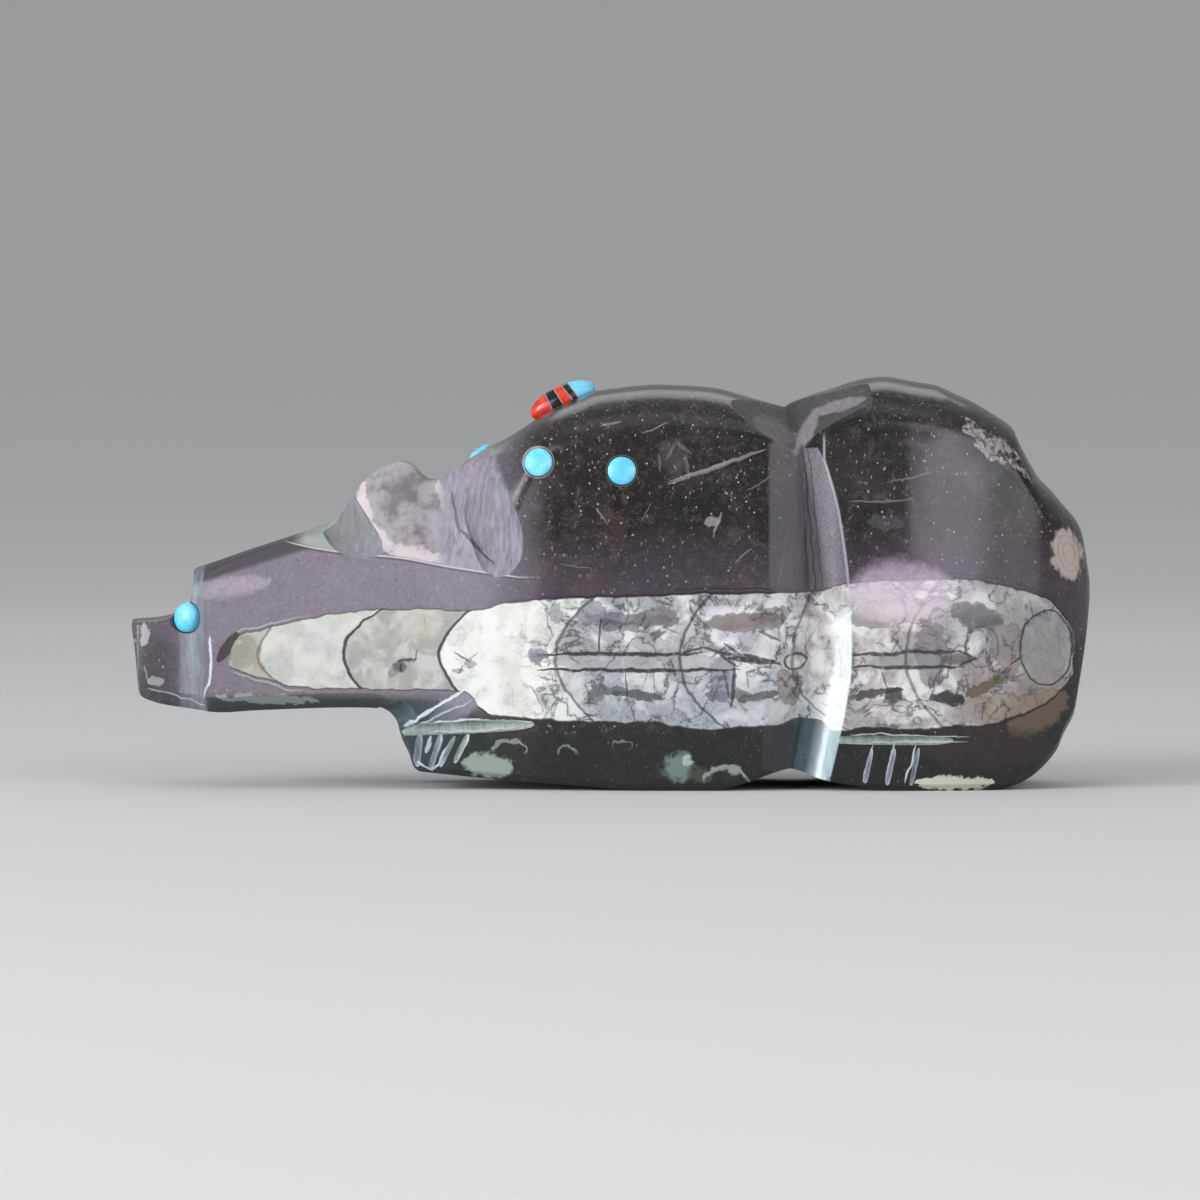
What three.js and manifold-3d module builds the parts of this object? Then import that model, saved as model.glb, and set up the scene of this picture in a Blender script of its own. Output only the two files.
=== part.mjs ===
// A small bear carved from one slab of black fossil limestone, with turquoise, coral and jet set into it.
// Millimetres. +X runs from the nose to the rump, +Z is up, and the bear stands on z = 0.
// The carving is free form: its outlines and the places of its cuts are shares of the bear's own
// length, height and width. What is drilled, ground or set in has a size of its own.

import * as THREE from "three";
import { LoftGeometry } from "three/addons/geometries/LoftGeometry.js";
import { mergeVertices } from "three/addons/utils/BufferGeometryUtils.js";
import Module from "manifold-3d";

const wasm = await Module();
wasm.setup();

// Driving dimensions
const bodyLength = 102.2;
const bodyHeight = 43.7;
const bodyWidth = 27.6;
const flankBulge = 1.7; // how far the flank has come in where the crown begins
const jawBevel = 1.6;
const bodyBevel = 0.7;

const waistDepth = 2.5;
const waistWheelRadius = 4.4;
const legNotchDepth = 2.6;
const legNotchWidth = 3.4;
const flakeWidth = 6.5;
const flakeDepth = 0.9;

const shoulderDotDiameter = 3.0;
const neckDotDiameter = 2.6;
const dotDepth = 1.4;
const dotDome = 0.45;
const eyeDiameter = 3.2;
const eyeDepth = 1.6;
const eyeDome = 1.0;
const inlayClearance = 0.12;

const bundleLength = 7.5;
const bundleWidth = 3.3;
const bundleHeight = 3.2;
const bundleJoint = 0.12; // the seam of glue between two stones of the bundle

// Side outline, as shares of the length and of the height. Each stroke ends at a corner.
const backStrokes = [
  [[0, 0.407], [0.027, 0.412], [0.043, 0.422], [0.055, 0.433], [0.061, 0.455], [0.064, 0.48]],
  [[0.065, 0.533], [0.08, 0.544], [0.122, 0.578], [0.164, 0.61], [0.195, 0.635], [0.211, 0.652],
    [0.221, 0.679], [0.232, 0.71], [0.244, 0.75], [0.258, 0.773], [0.27, 0.786], [0.282, 0.793],
    [0.292, 0.784], [0.3, 0.763], [0.308, 0.75], [0.319, 0.748]],
  [[0.319, 0.748], [0.326, 0.76], [0.347, 0.792], [0.368, 0.824], [0.389, 0.848], [0.41, 0.878],
    [0.431, 0.912], [0.447, 0.934], [0.468, 0.953], [0.484, 0.966], [0.536, 0.98], [0.567, 0.98],
    [0.609, 0.973], [0.641, 0.953], [0.667, 0.936], [0.682, 0.926]],
  [[0.682, 0.926], [0.689, 0.938], [0.709, 0.956], [0.73, 0.971], [0.751, 0.988], [0.77, 0.998],
    [0.79, 1], [0.819, 0.988], [0.84, 0.98], [0.856, 0.963], [0.877, 0.941], [0.898, 0.912],
    [0.919, 0.878], [0.929, 0.834], [0.945, 0.762], [0.961, 0.722], [0.974, 0.686], [0.987, 0.65],
    [0.994, 0.61], [1, 0.522]],
];
const bellyStrokes = [
  [[0, 0.375], [0.003, 0.319], [0.006, 0.24], [0.009, 0.221], [0.017, 0.211], [0.038, 0.198],
    [0.09, 0.184], [0.132, 0.189], [0.206, 0.196], [0.253, 0.196], [0.266, 0.189], [0.274, 0.174],
    [0.279, 0.154], [0.284, 0.118], [0.29, 0.091], [0.295, 0.056], [0.301, 0.043]],
  [[0.301, 0.043], [0.384, 0.025], [0.447, 0.015], [0.53, 0]],
  [[0.53, 0], [0.609, 0]],
  [[0.609, 0], [0.641, 0.02], [0.662, 0.039], [0.678, 0.051], [0.686, 0.053]],
  [[0.686, 0.053], [0.699, 0.044], [0.72, 0.026], [0.761, 0.008], [0.79, 0]],
  [[0.79, 0], [0.893, 0]],
  [[0.893, 0], [0.919, 0.012], [0.94, 0.039], [0.961, 0.088], [0.971, 0.135], [0.982, 0.181],
    [0.987, 0.238], [0.992, 0.302], [0.997, 0.38], [1, 0.441]],
];
// Where the flat flank ends and the crown of head, ear or back begins
const flankTopStrokes = [
  [[0, 0.39], [0.04, 0.39], [0.064, 0.44]],
  [[0.065, 0.478], [0.1, 0.527], [0.166, 0.6]],
  [[0.166, 0.6], [0.232, 0.569], [0.334, 0.539], [0.37, 0.552], [0.395, 0.62], [0.415, 0.74], [0.447, 0.81],
    [0.53, 0.828], [0.678, 0.828], [0.751, 0.858], [0.814, 0.86], [0.87, 0.82], [0.919, 0.74],
    [0.966, 0.6], [1, 0.49]],
];
// Half width seen from above, as shares of half the body's width
const planStrokes = [
  [[0, 0.29], [0.004, 0.33], [0.012, 0.355], [0.049, 0.37]],
  [[0.049, 0.37], [0.062, 0.395], [0.071, 0.44], [0.077, 0.5], [0.08, 0.575]],
  [[0.08, 0.585], [0.13, 0.615], [0.211, 0.674], [0.31, 0.768], [0.39, 0.87], [0.447, 0.94],
    [0.53, 0.985], [0.65, 0.997], [0.75, 1], [0.808, 1]],
  [[0.808, 1], [0.857, 0.968], [0.905, 0.866], [0.946, 0.707], [0.977, 0.5], [0.994, 0.32], [1, 0.21]],
];

const stationCount = 66;
const sectionSteps = { floor: 1, bevel: 1, flank: 6, crown: 7 };

const halfWidth = bodyWidth / 2;
const flankMiddle = 0.32; // share of the height at which the flank stands out most
const flankReach = 0.51; // share of the height from there to the highest start of the crown

// A height or width along the body, read off strokes of smooth curve
function drawnLine(strokes) {
  const points = strokes.flatMap((stroke) =>
    new THREE.SplineCurve(stroke.map(([x, v]) => new THREE.Vector2(x, v))).getPoints(stroke.length * 4),
  );
  return (x) => {
    const next = points.findIndex((p, i) => i > 0 && p.x >= x);
    if (next < 0) return points[points.length - 1].y;
    const a = points[next - 1];
    const b = points[next];
    const share = b.x > a.x ? THREE.MathUtils.clamp((x - a.x) / (b.x - a.x), 0, 1) : 1;
    return THREE.MathUtils.lerp(a.y, b.y, share);
  };
}

const backLine = drawnLine(backStrokes);
const bellyLine = drawnLine(bellyStrokes);
const flankTopLine = drawnLine(flankTopStrokes);
const planLine = drawnLine(planStrokes);

const xAt = (share) => (share - 0.5) * bodyLength;
const zAt = (share) => share * bodyHeight;

// How far the crown is a slope up to a flat-topped ear, from 0 to 1
function earness(x) {
  const rise = THREE.MathUtils.smoothstep(x, 0.2, 0.24);
  const fall = 1 - THREE.MathUtils.smoothstep(x, 0.33, 0.4);
  return rise * fall;
}

const headSquareness = 3.6;
const backSquareness = 2.2;

// How square the crown's curve is: boxy on the head, round over the back
function crownPower(x) {
  return THREE.MathUtils.lerp(headSquareness, backSquareness, THREE.MathUtils.smoothstep(x, 0.2, 0.42));
}

// The cross section at one share of the length
function sectionAt(x) {
  const top = backLine(x);
  const bottom = bellyLine(x);
  const half = planLine(x) * halfWidth;
  const onHead = 1 - THREE.MathUtils.smoothstep(x, 0.26, 0.31);
  const bevel = THREE.MathUtils.lerp(bodyBevel, jawBevel, onHead);
  const room = (top - bottom) * bodyHeight;
  const bevelHeight = Math.min(bevel, room * 0.3);
  const flankTop = Math.min(flankTopLine(x), top - 0.02);
  return { x, top, bottom, half, bevelHeight, bevelInset: Math.min(bevel, half * 0.5), flankTop };
}

// Half width of the flank at a height in mm
function flankY(section, z) {
  const away = (z / bodyHeight - flankMiddle) / flankReach;
  return section.half - Math.min(flankBulge * away * away, section.half * 0.6);
}

const earOuterShare = 0.5; // the ear's outer top edge, as a share of half the body's width
const earSlopeShare = 0.625; // the share of the crown's steps that climb the ear's outer slope
const halfSteps = sectionSteps.floor + sectionSteps.bevel + sectionSteps.flank + sectionSteps.crown;

// A point of the half section: 0 is under the belly, halfSteps is on the spine
function halfSectionPoint(section, step) {
  const { floor, bevel, flank, crown } = sectionSteps;
  const zBottom = zAt(section.bottom);
  const zBevel = zBottom + section.bevelHeight;
  const zFlank = Math.max(zAt(section.flankTop), zBevel + 0.1);
  const zTop = zAt(section.top);
  const yBevel = flankY(section, zBevel);
  if (step <= floor) return [(yBevel - section.bevelInset) * (step / floor), zBottom];
  if (step <= floor + bevel) {
    const share = (step - floor) / bevel;
    return [yBevel - section.bevelInset * (1 - share), zBottom + section.bevelHeight * share];
  }
  if (step <= floor + bevel + flank) {
    const z = THREE.MathUtils.lerp(zBevel, zFlank, (step - floor - bevel) / flank);
    return [flankY(section, z), z];
  }
  const share = (step - floor - bevel - flank) / crown;
  const yFlank = flankY(section, zFlank);
  const angle = (share * Math.PI) / 2;
  const power = 2 / crownPower(section.x);
  const domeY = share < 1 ? yFlank * Math.cos(angle) ** power : 0;
  const domeZ = THREE.MathUtils.lerp(zFlank, zTop, Math.sin(angle) ** power);
  const earEdge = Math.min(earOuterShare * halfWidth, yFlank * 0.9);
  const slopeY = share < earSlopeShare
    ? THREE.MathUtils.lerp(yFlank, earEdge, share / earSlopeShare)
    : earEdge * (1 - (share - earSlopeShare) / (1 - earSlopeShare));
  const slopeZ = THREE.MathUtils.lerp(zFlank, zTop, Math.min(share / earSlopeShare, 1));
  const ear = earness(section.x);
  return [THREE.MathUtils.lerp(domeY, slopeY, ear), THREE.MathUtils.lerp(domeZ, slopeZ, ear)];
}

// Stations along the body, closer together where an outline turns steeply
function stationShares() {
  const fine = 1200;
  const travelled = [0];
  for (let i = 1; i <= fine; i++) {
    const a = (i - 1) / fine;
    const b = i / fine;
    const rise = Math.abs(backLine(b) - backLine(a)) + Math.abs(bellyLine(b) - bellyLine(a));
    const spread = Math.abs(planLine(b) - planLine(a));
    const step = Math.hypot((b - a) * bodyLength, 0.55 * rise * bodyHeight, spread * halfWidth);
    travelled.push(travelled[i - 1] + step);
  }
  const shares = [];
  for (let k = 0; k < stationCount; k++) {
    const wanted = (travelled[fine] * k) / (stationCount - 1);
    const next = Math.max(travelled.findIndex((d) => d >= wanted - 1e-9), 1);
    const part = (wanted - travelled[next - 1]) / (travelled[next] - travelled[next - 1]);
    shares.push((next - 1 + THREE.MathUtils.clamp(part, 0, 1)) / fine);
  }
  return shares;
}

// The slab before any groove is ground into it
function slabGeometry() {
  const rings = stationShares().map((x) => {
    const section = sectionAt(x);
    const ring = [];
    for (let step = 0; step < halfSteps; step++) {
      const [y, z] = halfSectionPoint(section, step);
      ring.push(new THREE.Vector3(xAt(x), y, z));
    }
    for (let step = halfSteps; step > 0; step--) {
      const [y, z] = halfSectionPoint(section, step);
      ring.push(new THREE.Vector3(xAt(x), -y, z));
    }
    return ring;
  });
  return new LoftGeometry(rings, { capStart: true, capEnd: true });
}

// A point on the slab's side at shares of length and height, with its outward normal. side is -1 or 1
function onSide(x, z, side) {
  const yAt = (xs, zs) => {
    const section = sectionAt(xs);
    let low = sectionSteps.floor;
    let high = halfSteps;
    for (let i = 0; i < 30; i++) {
      const middle = (low + high) / 2;
      if (halfSectionPoint(section, middle)[1] < zAt(zs)) low = middle;
      else high = middle;
    }
    return halfSectionPoint(section, low)[0];
  };
  const reach = 0.004;
  const y = yAt(x, z);
  const alongX = (yAt(x + reach, z) - yAt(x - reach, z)) / (2 * reach * bodyLength);
  const alongZ = (yAt(x, z + reach) - yAt(x, z - reach)) / (2 * reach * bodyHeight);
  return {
    point: new THREE.Vector3(xAt(x), side * y, zAt(z)),
    normal: new THREE.Vector3(-alongX, side, -alongZ).normalize(),
  };
}

// A three.js geometry as a solid that can be cut
function solid(geometry) {
  const bare = new THREE.BufferGeometry();
  bare.setAttribute("position", geometry.getAttribute("position"));
  bare.setIndex(geometry.getIndex());
  const merged = mergeVertices(bare, 1e-4);
  return new wasm.Manifold(
    new wasm.Mesh({
      numProp: 3,
      vertProperties: new Float32Array(merged.attributes.position.array),
      triVerts: new Uint32Array(merged.index.array),
    }),
  );
}

function geometryOf(body) {
  const mesh = body.getMesh();
  const geometry = new THREE.BufferGeometry();
  geometry.setAttribute("position", new THREE.BufferAttribute(new Float32Array(mesh.vertProperties), 3));
  geometry.setIndex(new THREE.BufferAttribute(new Uint32Array(mesh.triVerts), 1));
  geometry.computeVertexNormals();
  return geometry;
}

// A frame whose Y axis is up and whose X axis lies as near to along as it can
function frameAt(point, up, along) {
  const z = new THREE.Vector3().crossVectors(along, up).normalize();
  const x = new THREE.Vector3().crossVectors(up, z).normalize();
  return new THREE.Matrix4().makeBasis(x, up.clone().normalize(), z).setPosition(point);
}

// A grinding wheel with a rounded rim, turning about its own Y axis
function wheelGeometry(radius, width, rimDepth, chord) {
  const wide = width > 2;
  const rim = new THREE.EllipseCurve(radius - rimDepth, 0, rimDepth, width / 2, -Math.PI / 2, Math.PI / 2);
  const profile = [
    new THREE.Vector2(0, -width / 2),
    ...rim.getPoints(wide ? 5 : 2),
    new THREE.Vector2(0, width / 2),
  ];
  const facet = (2 * Math.asin(chord / 2 / radius)) / (wide ? 7 : 4);
  return new THREE.LatheGeometry(profile, Math.ceil((Math.PI * 2) / facet));
}

// A groove between two places on the side, as deep as given halfway along. A tilted wheel digs in
// along its rear edge and fades out in front.
function wheelCut({ from, to, width, depth, rim = depth, tilt = 0 }, side) {
  const a = onSide(...from, side).point;
  const b = onSide(...to, side).point;
  const middle = onSide((from[0] + to[0]) / 2, (from[1] + to[1]) / 2, side);
  const chord = a.distanceTo(b);
  const radius = (chord * chord * 0.25 + depth * depth) / (2 * depth);
  const along = b.clone().sub(a).normalize();
  const inward = middle.normal.clone().applyAxisAngle(along, side * tilt).negate();
  const across = new THREE.Vector3().crossVectors(along, inward).normalize();
  const centre = middle.point.clone().addScaledVector(inward, depth - radius);
  return solid(wheelGeometry(radius, width, rim, chord).applyMatrix4(frameAt(centre, across, along)));
}

// The cuts that both sides of the bear share, by place on the side
const neckScoop = { from: [0.356, 0.8], to: [0.402, 0.47], width: 5.8, depth: 1.3 };
const earScoop = { from: [0.205, 0.68], to: [0.247, 0.585], width: 5, depth: 0.8 };
const throatCut = { from: [0.373, 0.343], to: [0.188, 0.073], width: 5.6, depth: 1.5, rim: 0.6, tilt: 0.32 };
const foreLegLine = { from: [0.27, 0.143], to: [0.418, 0.16], width: 1.3, depth: 0.75 };
const hindLegLine = { from: [0.715, 0.124], to: [0.876, 0.122], width: 1, depth: 0.7 };
const noseNick = { from: [-0.01, 0.357], to: [0.016, 0.357], width: 0.5, depth: 0.4 };
const foreClaws = [
  { from: [0.302, 0.135], to: [0.297, 0.035], width: 0.8, depth: 0.6 },
  { from: [0.324, 0.137], to: [0.311, 0.035], width: 0.6, depth: 0.5 },
  { from: [0.338, 0.13], to: [0.323, 0.055], width: 0.5, depth: 0.5 },
  { from: [0.352, 0.135], to: [0.338, 0.065], width: 0.6, depth: 0.5 },
];
const hindClaws = [0.769, 0.7925, 0.817].map((top) => ({
  from: [top, 0.106],
  to: [top - 0.009, 0.008],
  width: 0.5,
  depth: 0.45,
}));

// A frame for a groove: Y into the stone, Z along the groove
function grooveFrame(origin, into, run) {
  const x = new THREE.Vector3().crossVectors(into, run).normalize();
  const axes = new THREE.Matrix4().makeBasis(x, into.clone().normalize(), run.clone().normalize());
  return axes.setPosition(origin);
}

// A prism that grinds a groove: its profile lies in the frame's X and Y, and it runs along Z
function grooveCut(profile, run, frame) {
  const prism = new THREE.ExtrudeGeometry(profile, { depth: run, bevelEnabled: false, curveSegments: 6 });
  return solid(prism.applyMatrix4(frame));
}

// A groove on one side, turned about so that its profile's X always points to the rump
function sidePass(profile, start, into, direction, run) {
  const frame = grooveFrame(start, into, direction);
  if (frame.elements[0] < 0) {
    frame.multiply(new THREE.Matrix4().makeRotationY(Math.PI));
    frame.multiply(new THREE.Matrix4().makeTranslation(0, 0, -run));
  }
  return grooveCut(profile, run, frame);
}

const waistX = 0.712; // the deepest line of the waist, where it is furthest back
const waistTop = 0.828; // where the pass up the side meets the pass over the back
const waistBend = 0.3; // where the side pass turns forward to the belly
const waistLean = 0.06; // how far the side pass leans forward as it climbs, per mm
const waistTilt = 0.025; // how far it comes out of the stone as it climbs, per mm
const waistFootLean = 0.2; // how far it leans forward as it goes down below the bend, per mm
const waistSoftReach = 5.2; // how far in front of the deepest line the soft side begins
const cutterRoom = 4; // how far a cutter stands out of the stone

// The side pass of the waist: soft in front, concave, with a crisp edge against the haunch behind
function waistProfile() {
  const shape = new THREE.Shape();
  shape.moveTo(-waistSoftReach, 0);
  shape.quadraticCurveTo(-waistSoftReach * 0.35, waistDepth * 0.35, -waistDepth * 0.16, waistDepth);
  shape.lineTo(0, waistDepth);
  shape.absarc(0, waistDepth - waistWheelRadius, waistWheelRadius, Math.PI / 2, 0.18, true);
  shape.lineTo(waistWheelRadius, -cutterRoom);
  shape.lineTo(-waistSoftReach - cutterRoom, -cutterRoom);
  return shape;
}

// The two passes of one side meet in a mitre at the bend
function waistCuts(side) {
  const bend = new THREE.Vector3(xAt(waistX), side * halfWidth, zAt(waistBend));
  const into = new THREE.Vector3(0, -side, 0);
  const up = new THREE.Vector3(-waistLean, side * waistTilt, 1).normalize();
  const down = new THREE.Vector3(-waistFootLean, 0, -1).normalize();
  const mitre = waistWheelRadius * Math.tan((waistLean + waistFootLean) / 2);
  const pass = (direction, run) =>
    sidePass(waistProfile(), bend.clone().addScaledVector(direction, -mitre), into, direction, run + mitre);
  return [pass(up, zAt(waistTop) - zAt(waistBend)), pass(down, zAt(waistBend) * 1.1)];
}

const saddleFront = { reach: 7.5, rise: 3.4 }; // from the valley's line to its front edge
const saddleRear = { reach: 8.4, rise: 3.9 }; // and to its rear edge
const saddleSpine = 0.931; // the height of the valley's line at the spine

// The pass over the back, a shallow valley that climbs from the flank to the spine
function saddleCut(side) {
  const shape = new THREE.Shape();
  shape.moveTo(-saddleFront.reach, -saddleFront.rise);
  shape.quadraticCurveTo(-saddleFront.reach * 0.32, -saddleFront.rise * 0.3, 0, 0);
  shape.quadraticCurveTo(saddleRear.reach * 0.3, -saddleRear.rise * 0.59, saddleRear.reach, -saddleRear.rise);
  shape.lineTo(saddleRear.reach, -saddleRear.rise - cutterRoom);
  shape.lineTo(-saddleFront.reach, -saddleRear.rise - cutterRoom);
  const foot = new THREE.Vector3(xAt(0.69), side * (halfWidth - waistDepth), zAt(waistTop));
  const head = new THREE.Vector3(xAt(0.683), side * halfWidth * 0.11, zAt(saddleSpine));
  const run = head.clone().sub(foot);
  const into = new THREE.Vector3(0, -side * run.z, -Math.abs(run.y)).normalize();
  return sidePass(shape, foot.addScaledVector(run, -0.25), into, run, run.length() * 1.25);
}

const earValleyHalf = 0.26; // the trough's half width at its top, as a share of half the body's width
const earValleyDepth = 0.17; // as a share of the height

// The trough between the ears, ground along the top of the head
function earValley() {
  const front = new THREE.Vector3(xAt(0.214), 0, zAt(0.66));
  const back = new THREE.Vector3(xAt(0.319), 0, zAt(0.742));
  const run = back.clone().sub(front);
  const depth = zAt(earValleyDepth);
  const shape = new THREE.Shape();
  shape.absellipse(0, -depth, earValleyHalf * halfWidth, depth, 0, Math.PI * 2, false, 0);
  const start = front.clone().addScaledVector(run, -0.5);
  const down = new THREE.Vector3(run.z, 0, -run.x).normalize();
  return grooveCut(shape, run.length() * 1.52, grooveFrame(start, down, run));
}

// An upright notch in one end that parts the two forepaws, or the two hind legs
function legNotch(x, height) {
  const shape = new THREE.Shape();
  shape.absellipse(0, 0, legNotchDepth, legNotchWidth / 2, 0, Math.PI * 2, false, 0);
  const run = height + legNotchDepth;
  const prism = new THREE.ExtrudeGeometry(shape, { depth: run, bevelEnabled: false, curveSegments: 6 });
  return solid(prism.applyMatrix4(new THREE.Matrix4().makeTranslation(x, 0, -legNotchDepth)));
}

// How steeply the back climbs at one share of the length, in mm per mm
function backSlope(x) {
  const reach = 0.008;
  return (zAt(backLine(x + reach)) - zAt(backLine(x - reach))) / (2 * reach * bodyLength);
}

const flakeX = 0.93; // where on the back the flake came off
const flakeTurn = 0.35; // how far it leans to the near side, per mm

// A flake lost from the rump's upper corner, on the near side of the spine
function rumpChip() {
  const out = new THREE.Vector3(-backSlope(flakeX), -flakeTurn, 1).normalize();
  const hollow = flakeWidth * 0.8;
  const flake = new THREE.IcosahedronGeometry(hollow, 2).scale(1, 1.25, 1);
  const spine = new THREE.Vector3(xAt(flakeX), -flakeWidth * 0.35, zAt(backLine(flakeX)));
  const centre = spine.addScaledVector(out, hollow - flakeDepth);
  return solid(flake.translate(centre.x, centre.y, centre.z));
}

// A round stone with a domed face, set with its Y axis out of the surface
function cabochonGeometry(diameter, depth, dome) {
  const r = diameter / 2;
  const face = new THREE.EllipseCurve(0, 0, r, dome, 0, Math.PI / 2).getPoints(3);
  const points = [new THREE.Vector2(0, -depth), new THREE.Vector2(r, -depth), ...face];
  points[points.length - 1].x = 0;
  return new THREE.LatheGeometry(points, 16);
}

// The drilled seat of a cabochon, wider than the stone by the clearance and open above it
function seatCut(diameter, depth, dome, frame) {
  const r = diameter / 2 + inlayClearance;
  const height = depth + inlayClearance + dome + 1;
  const seat = new THREE.CylinderGeometry(r, r, height, 16);
  seat.translate(0, height / 2 - depth - inlayClearance, 0);
  return solid(seat.applyMatrix4(frame));
}

const alongBear = new THREE.Vector3(1, 0, 0);
const frontDotAt = [0.4248, 0.7926];
const rearDotAt = [0.511, 0.772];
const neckDotX = 0.363;
const eyeAt = [0.0575, 0.4142];
const eyeTurn = 0.72; // how far the eye looks forward of straight out, in radians
const eyeLift = 0.12; // and how far up
const eyeSink = 0.1;

// Each cabochon: its name, its sizes and the frame that it stands in
function cabochons() {
  const dots = [];
  const onShoulder = { diameter: shoulderDotDiameter, depth: dotDepth, dome: dotDome };
  for (const [name, side] of [["left", -1], ["right", 1]]) {
    for (const [place, at] of [["front", frontDotAt], ["rear", rearDotAt]]) {
      const { point, normal } = onSide(...at, side);
      const frame = frameAt(point, normal, alongBear);
      dots.push({ name: `${name}_${place}_turquoise_dot`, ...onShoulder, frame });
    }
    dots.push({
      name: `${name}_eye`,
      diameter: eyeDiameter,
      depth: eyeDepth,
      dome: eyeDome,
      frame: eyeFrame(side),
    });
  }
  const onSpine = new THREE.Vector3(xAt(neckDotX), 0, zAt(backLine(neckDotX)));
  const out = new THREE.Vector3(-backSlope(neckDotX), 0, 1);
  dots.push({
    name: "neck_turquoise_dot",
    diameter: neckDotDiameter,
    depth: dotDepth,
    dome: dotDome,
    frame: frameAt(onSpine, out, alongBear),
  });
  return dots;
}

// The eye sits in the hollow behind the muzzle and looks forward and out
function eyeFrame(side) {
  const out = new THREE.Vector3(-Math.sin(eyeTurn), side * Math.cos(eyeTurn), eyeLift).normalize();
  const seat = onSide(...eyeAt, side).point;
  return frameAt(seat.addScaledVector(out, -eyeSink), out, new THREE.Vector3(0, 0, 1));
}

// The bundle's own frame: X along it, on the slope of the back
const bundleX = 0.4494;
const bundleTilt = 0.444; // how steeply it climbs to the rear, in radians
const bundleLift = 0.25; // how far its axis stands above the back line
const bundlePlace = () =>
  new THREE.Matrix4()
    .makeTranslation(xAt(bundleX), 0, zAt(backLine(bundleX)) + bundleLift)
    .multiply(new THREE.Matrix4().makeRotationY(-bundleTilt));

// The egg shape of the whole bundle, grown by a clearance for its pocket
function bundleEgg(grow) {
  const egg = new THREE.SphereGeometry(1, 18, 12).rotateZ(Math.PI / 2);
  egg.scale(bundleLength / 2 + grow, bundleWidth / 2 + grow, bundleHeight / 2 + grow);
  return solid(egg.applyMatrix4(bundlePlace()));
}

// The seams between the bundle's stones: where each crosses the bundle's axis, and how it leans
const bundleSeams = [
  { at: -0.378, lean: 0 },
  { at: -0.045, lean: 0.12 },
  { at: 0.245, lean: 0.25 },
  { at: 0.42, lean: 0.2 },
];
const bundleStones = ["bundle_front_coral", "bundle_front_jet", "bundle_rear_coral", "bundle_rear_jet",
  "bundle_turquoise"];

// Everything on one side of a seam, as a block. direction is 1 for behind it and -1 for before it
function beyondSeam(seam, direction) {
  const size = bundleLength * 2;
  const block = new THREE.BoxGeometry(size, size, size);
  block.translate(direction * (size / 2 + bundleJoint / 2), 0, 0);
  block.rotateY(-seam.lean);
  block.translate((seam.at * bundleLength) / 2, 0, 0);
  return solid(block.applyMatrix4(bundlePlace()));
}

const limestone = () => new THREE.MeshStandardMaterial({ color: 0x4a4348, roughness: 0.32, metalness: 0 });
const turquoise = () => new THREE.MeshStandardMaterial({ color: 0x3fb2dc, roughness: 0.35, metalness: 0 });
const coral = () => new THREE.MeshStandardMaterial({ color: 0xc22a1c, roughness: 0.3, metalness: 0 });
const jet = () => new THREE.MeshStandardMaterial({ color: 0x0d0d0e, roughness: 0.2, metalness: 0 });

function named(name, geometry, material) {
  const mesh = new THREE.Mesh(geometry, material);
  mesh.name = name;
  return mesh;
}

function bearBody() {
  let body = solid(slabGeometry());
  const take = (cutter) => {
    body = body.subtract(cutter);
  };
  for (const side of [-1, 1]) {
    const grooves = [neckScoop, earScoop, throatCut, foreLegLine, hindLegLine, noseNick, ...foreClaws,
      ...hindClaws];
    grooves.forEach((groove) => take(wheelCut(groove, side)));
    waistCuts(side).forEach(take);
    take(saddleCut(side));
  }
  take(earValley());
  take(legNotch(xAt(0.29), zAt(0.15)));
  take(legNotch(xAt(0.955), zAt(0.16)));
  take(rumpChip());
  take(bundleEgg(inlayClearance));
  for (const stone of cabochons()) take(seatCut(stone.diameter, stone.depth, stone.dome, stone.frame));
  return named("bear_body", geometryOf(body), limestone());
}

function inlays() {
  return cabochons().map((stone) => {
    const mesh = named(stone.name, cabochonGeometry(stone.diameter, stone.depth, stone.dome), turquoise());
    mesh.applyMatrix4(stone.frame);
    return mesh;
  });
}

function bundle() {
  const colours = { coral, jet, turquoise };
  return bundleStones.map((name, i) => {
    let stone = bundleEgg(0);
    if (i > 0) stone = stone.intersect(beyondSeam(bundleSeams[i - 1], 1));
    if (i < bundleSeams.length) stone = stone.intersect(beyondSeam(bundleSeams[i], -1));
    return named(name, geometryOf(stone), colours[name.split("_").pop()]());
  });
}

const bear = new THREE.Group();
bear.add(bearBody(), ...inlays(), ...bundle());

export default bear;
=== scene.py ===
import math

import bpy
import numpy as np
from mathutils import Matrix, Vector, noise


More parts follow.
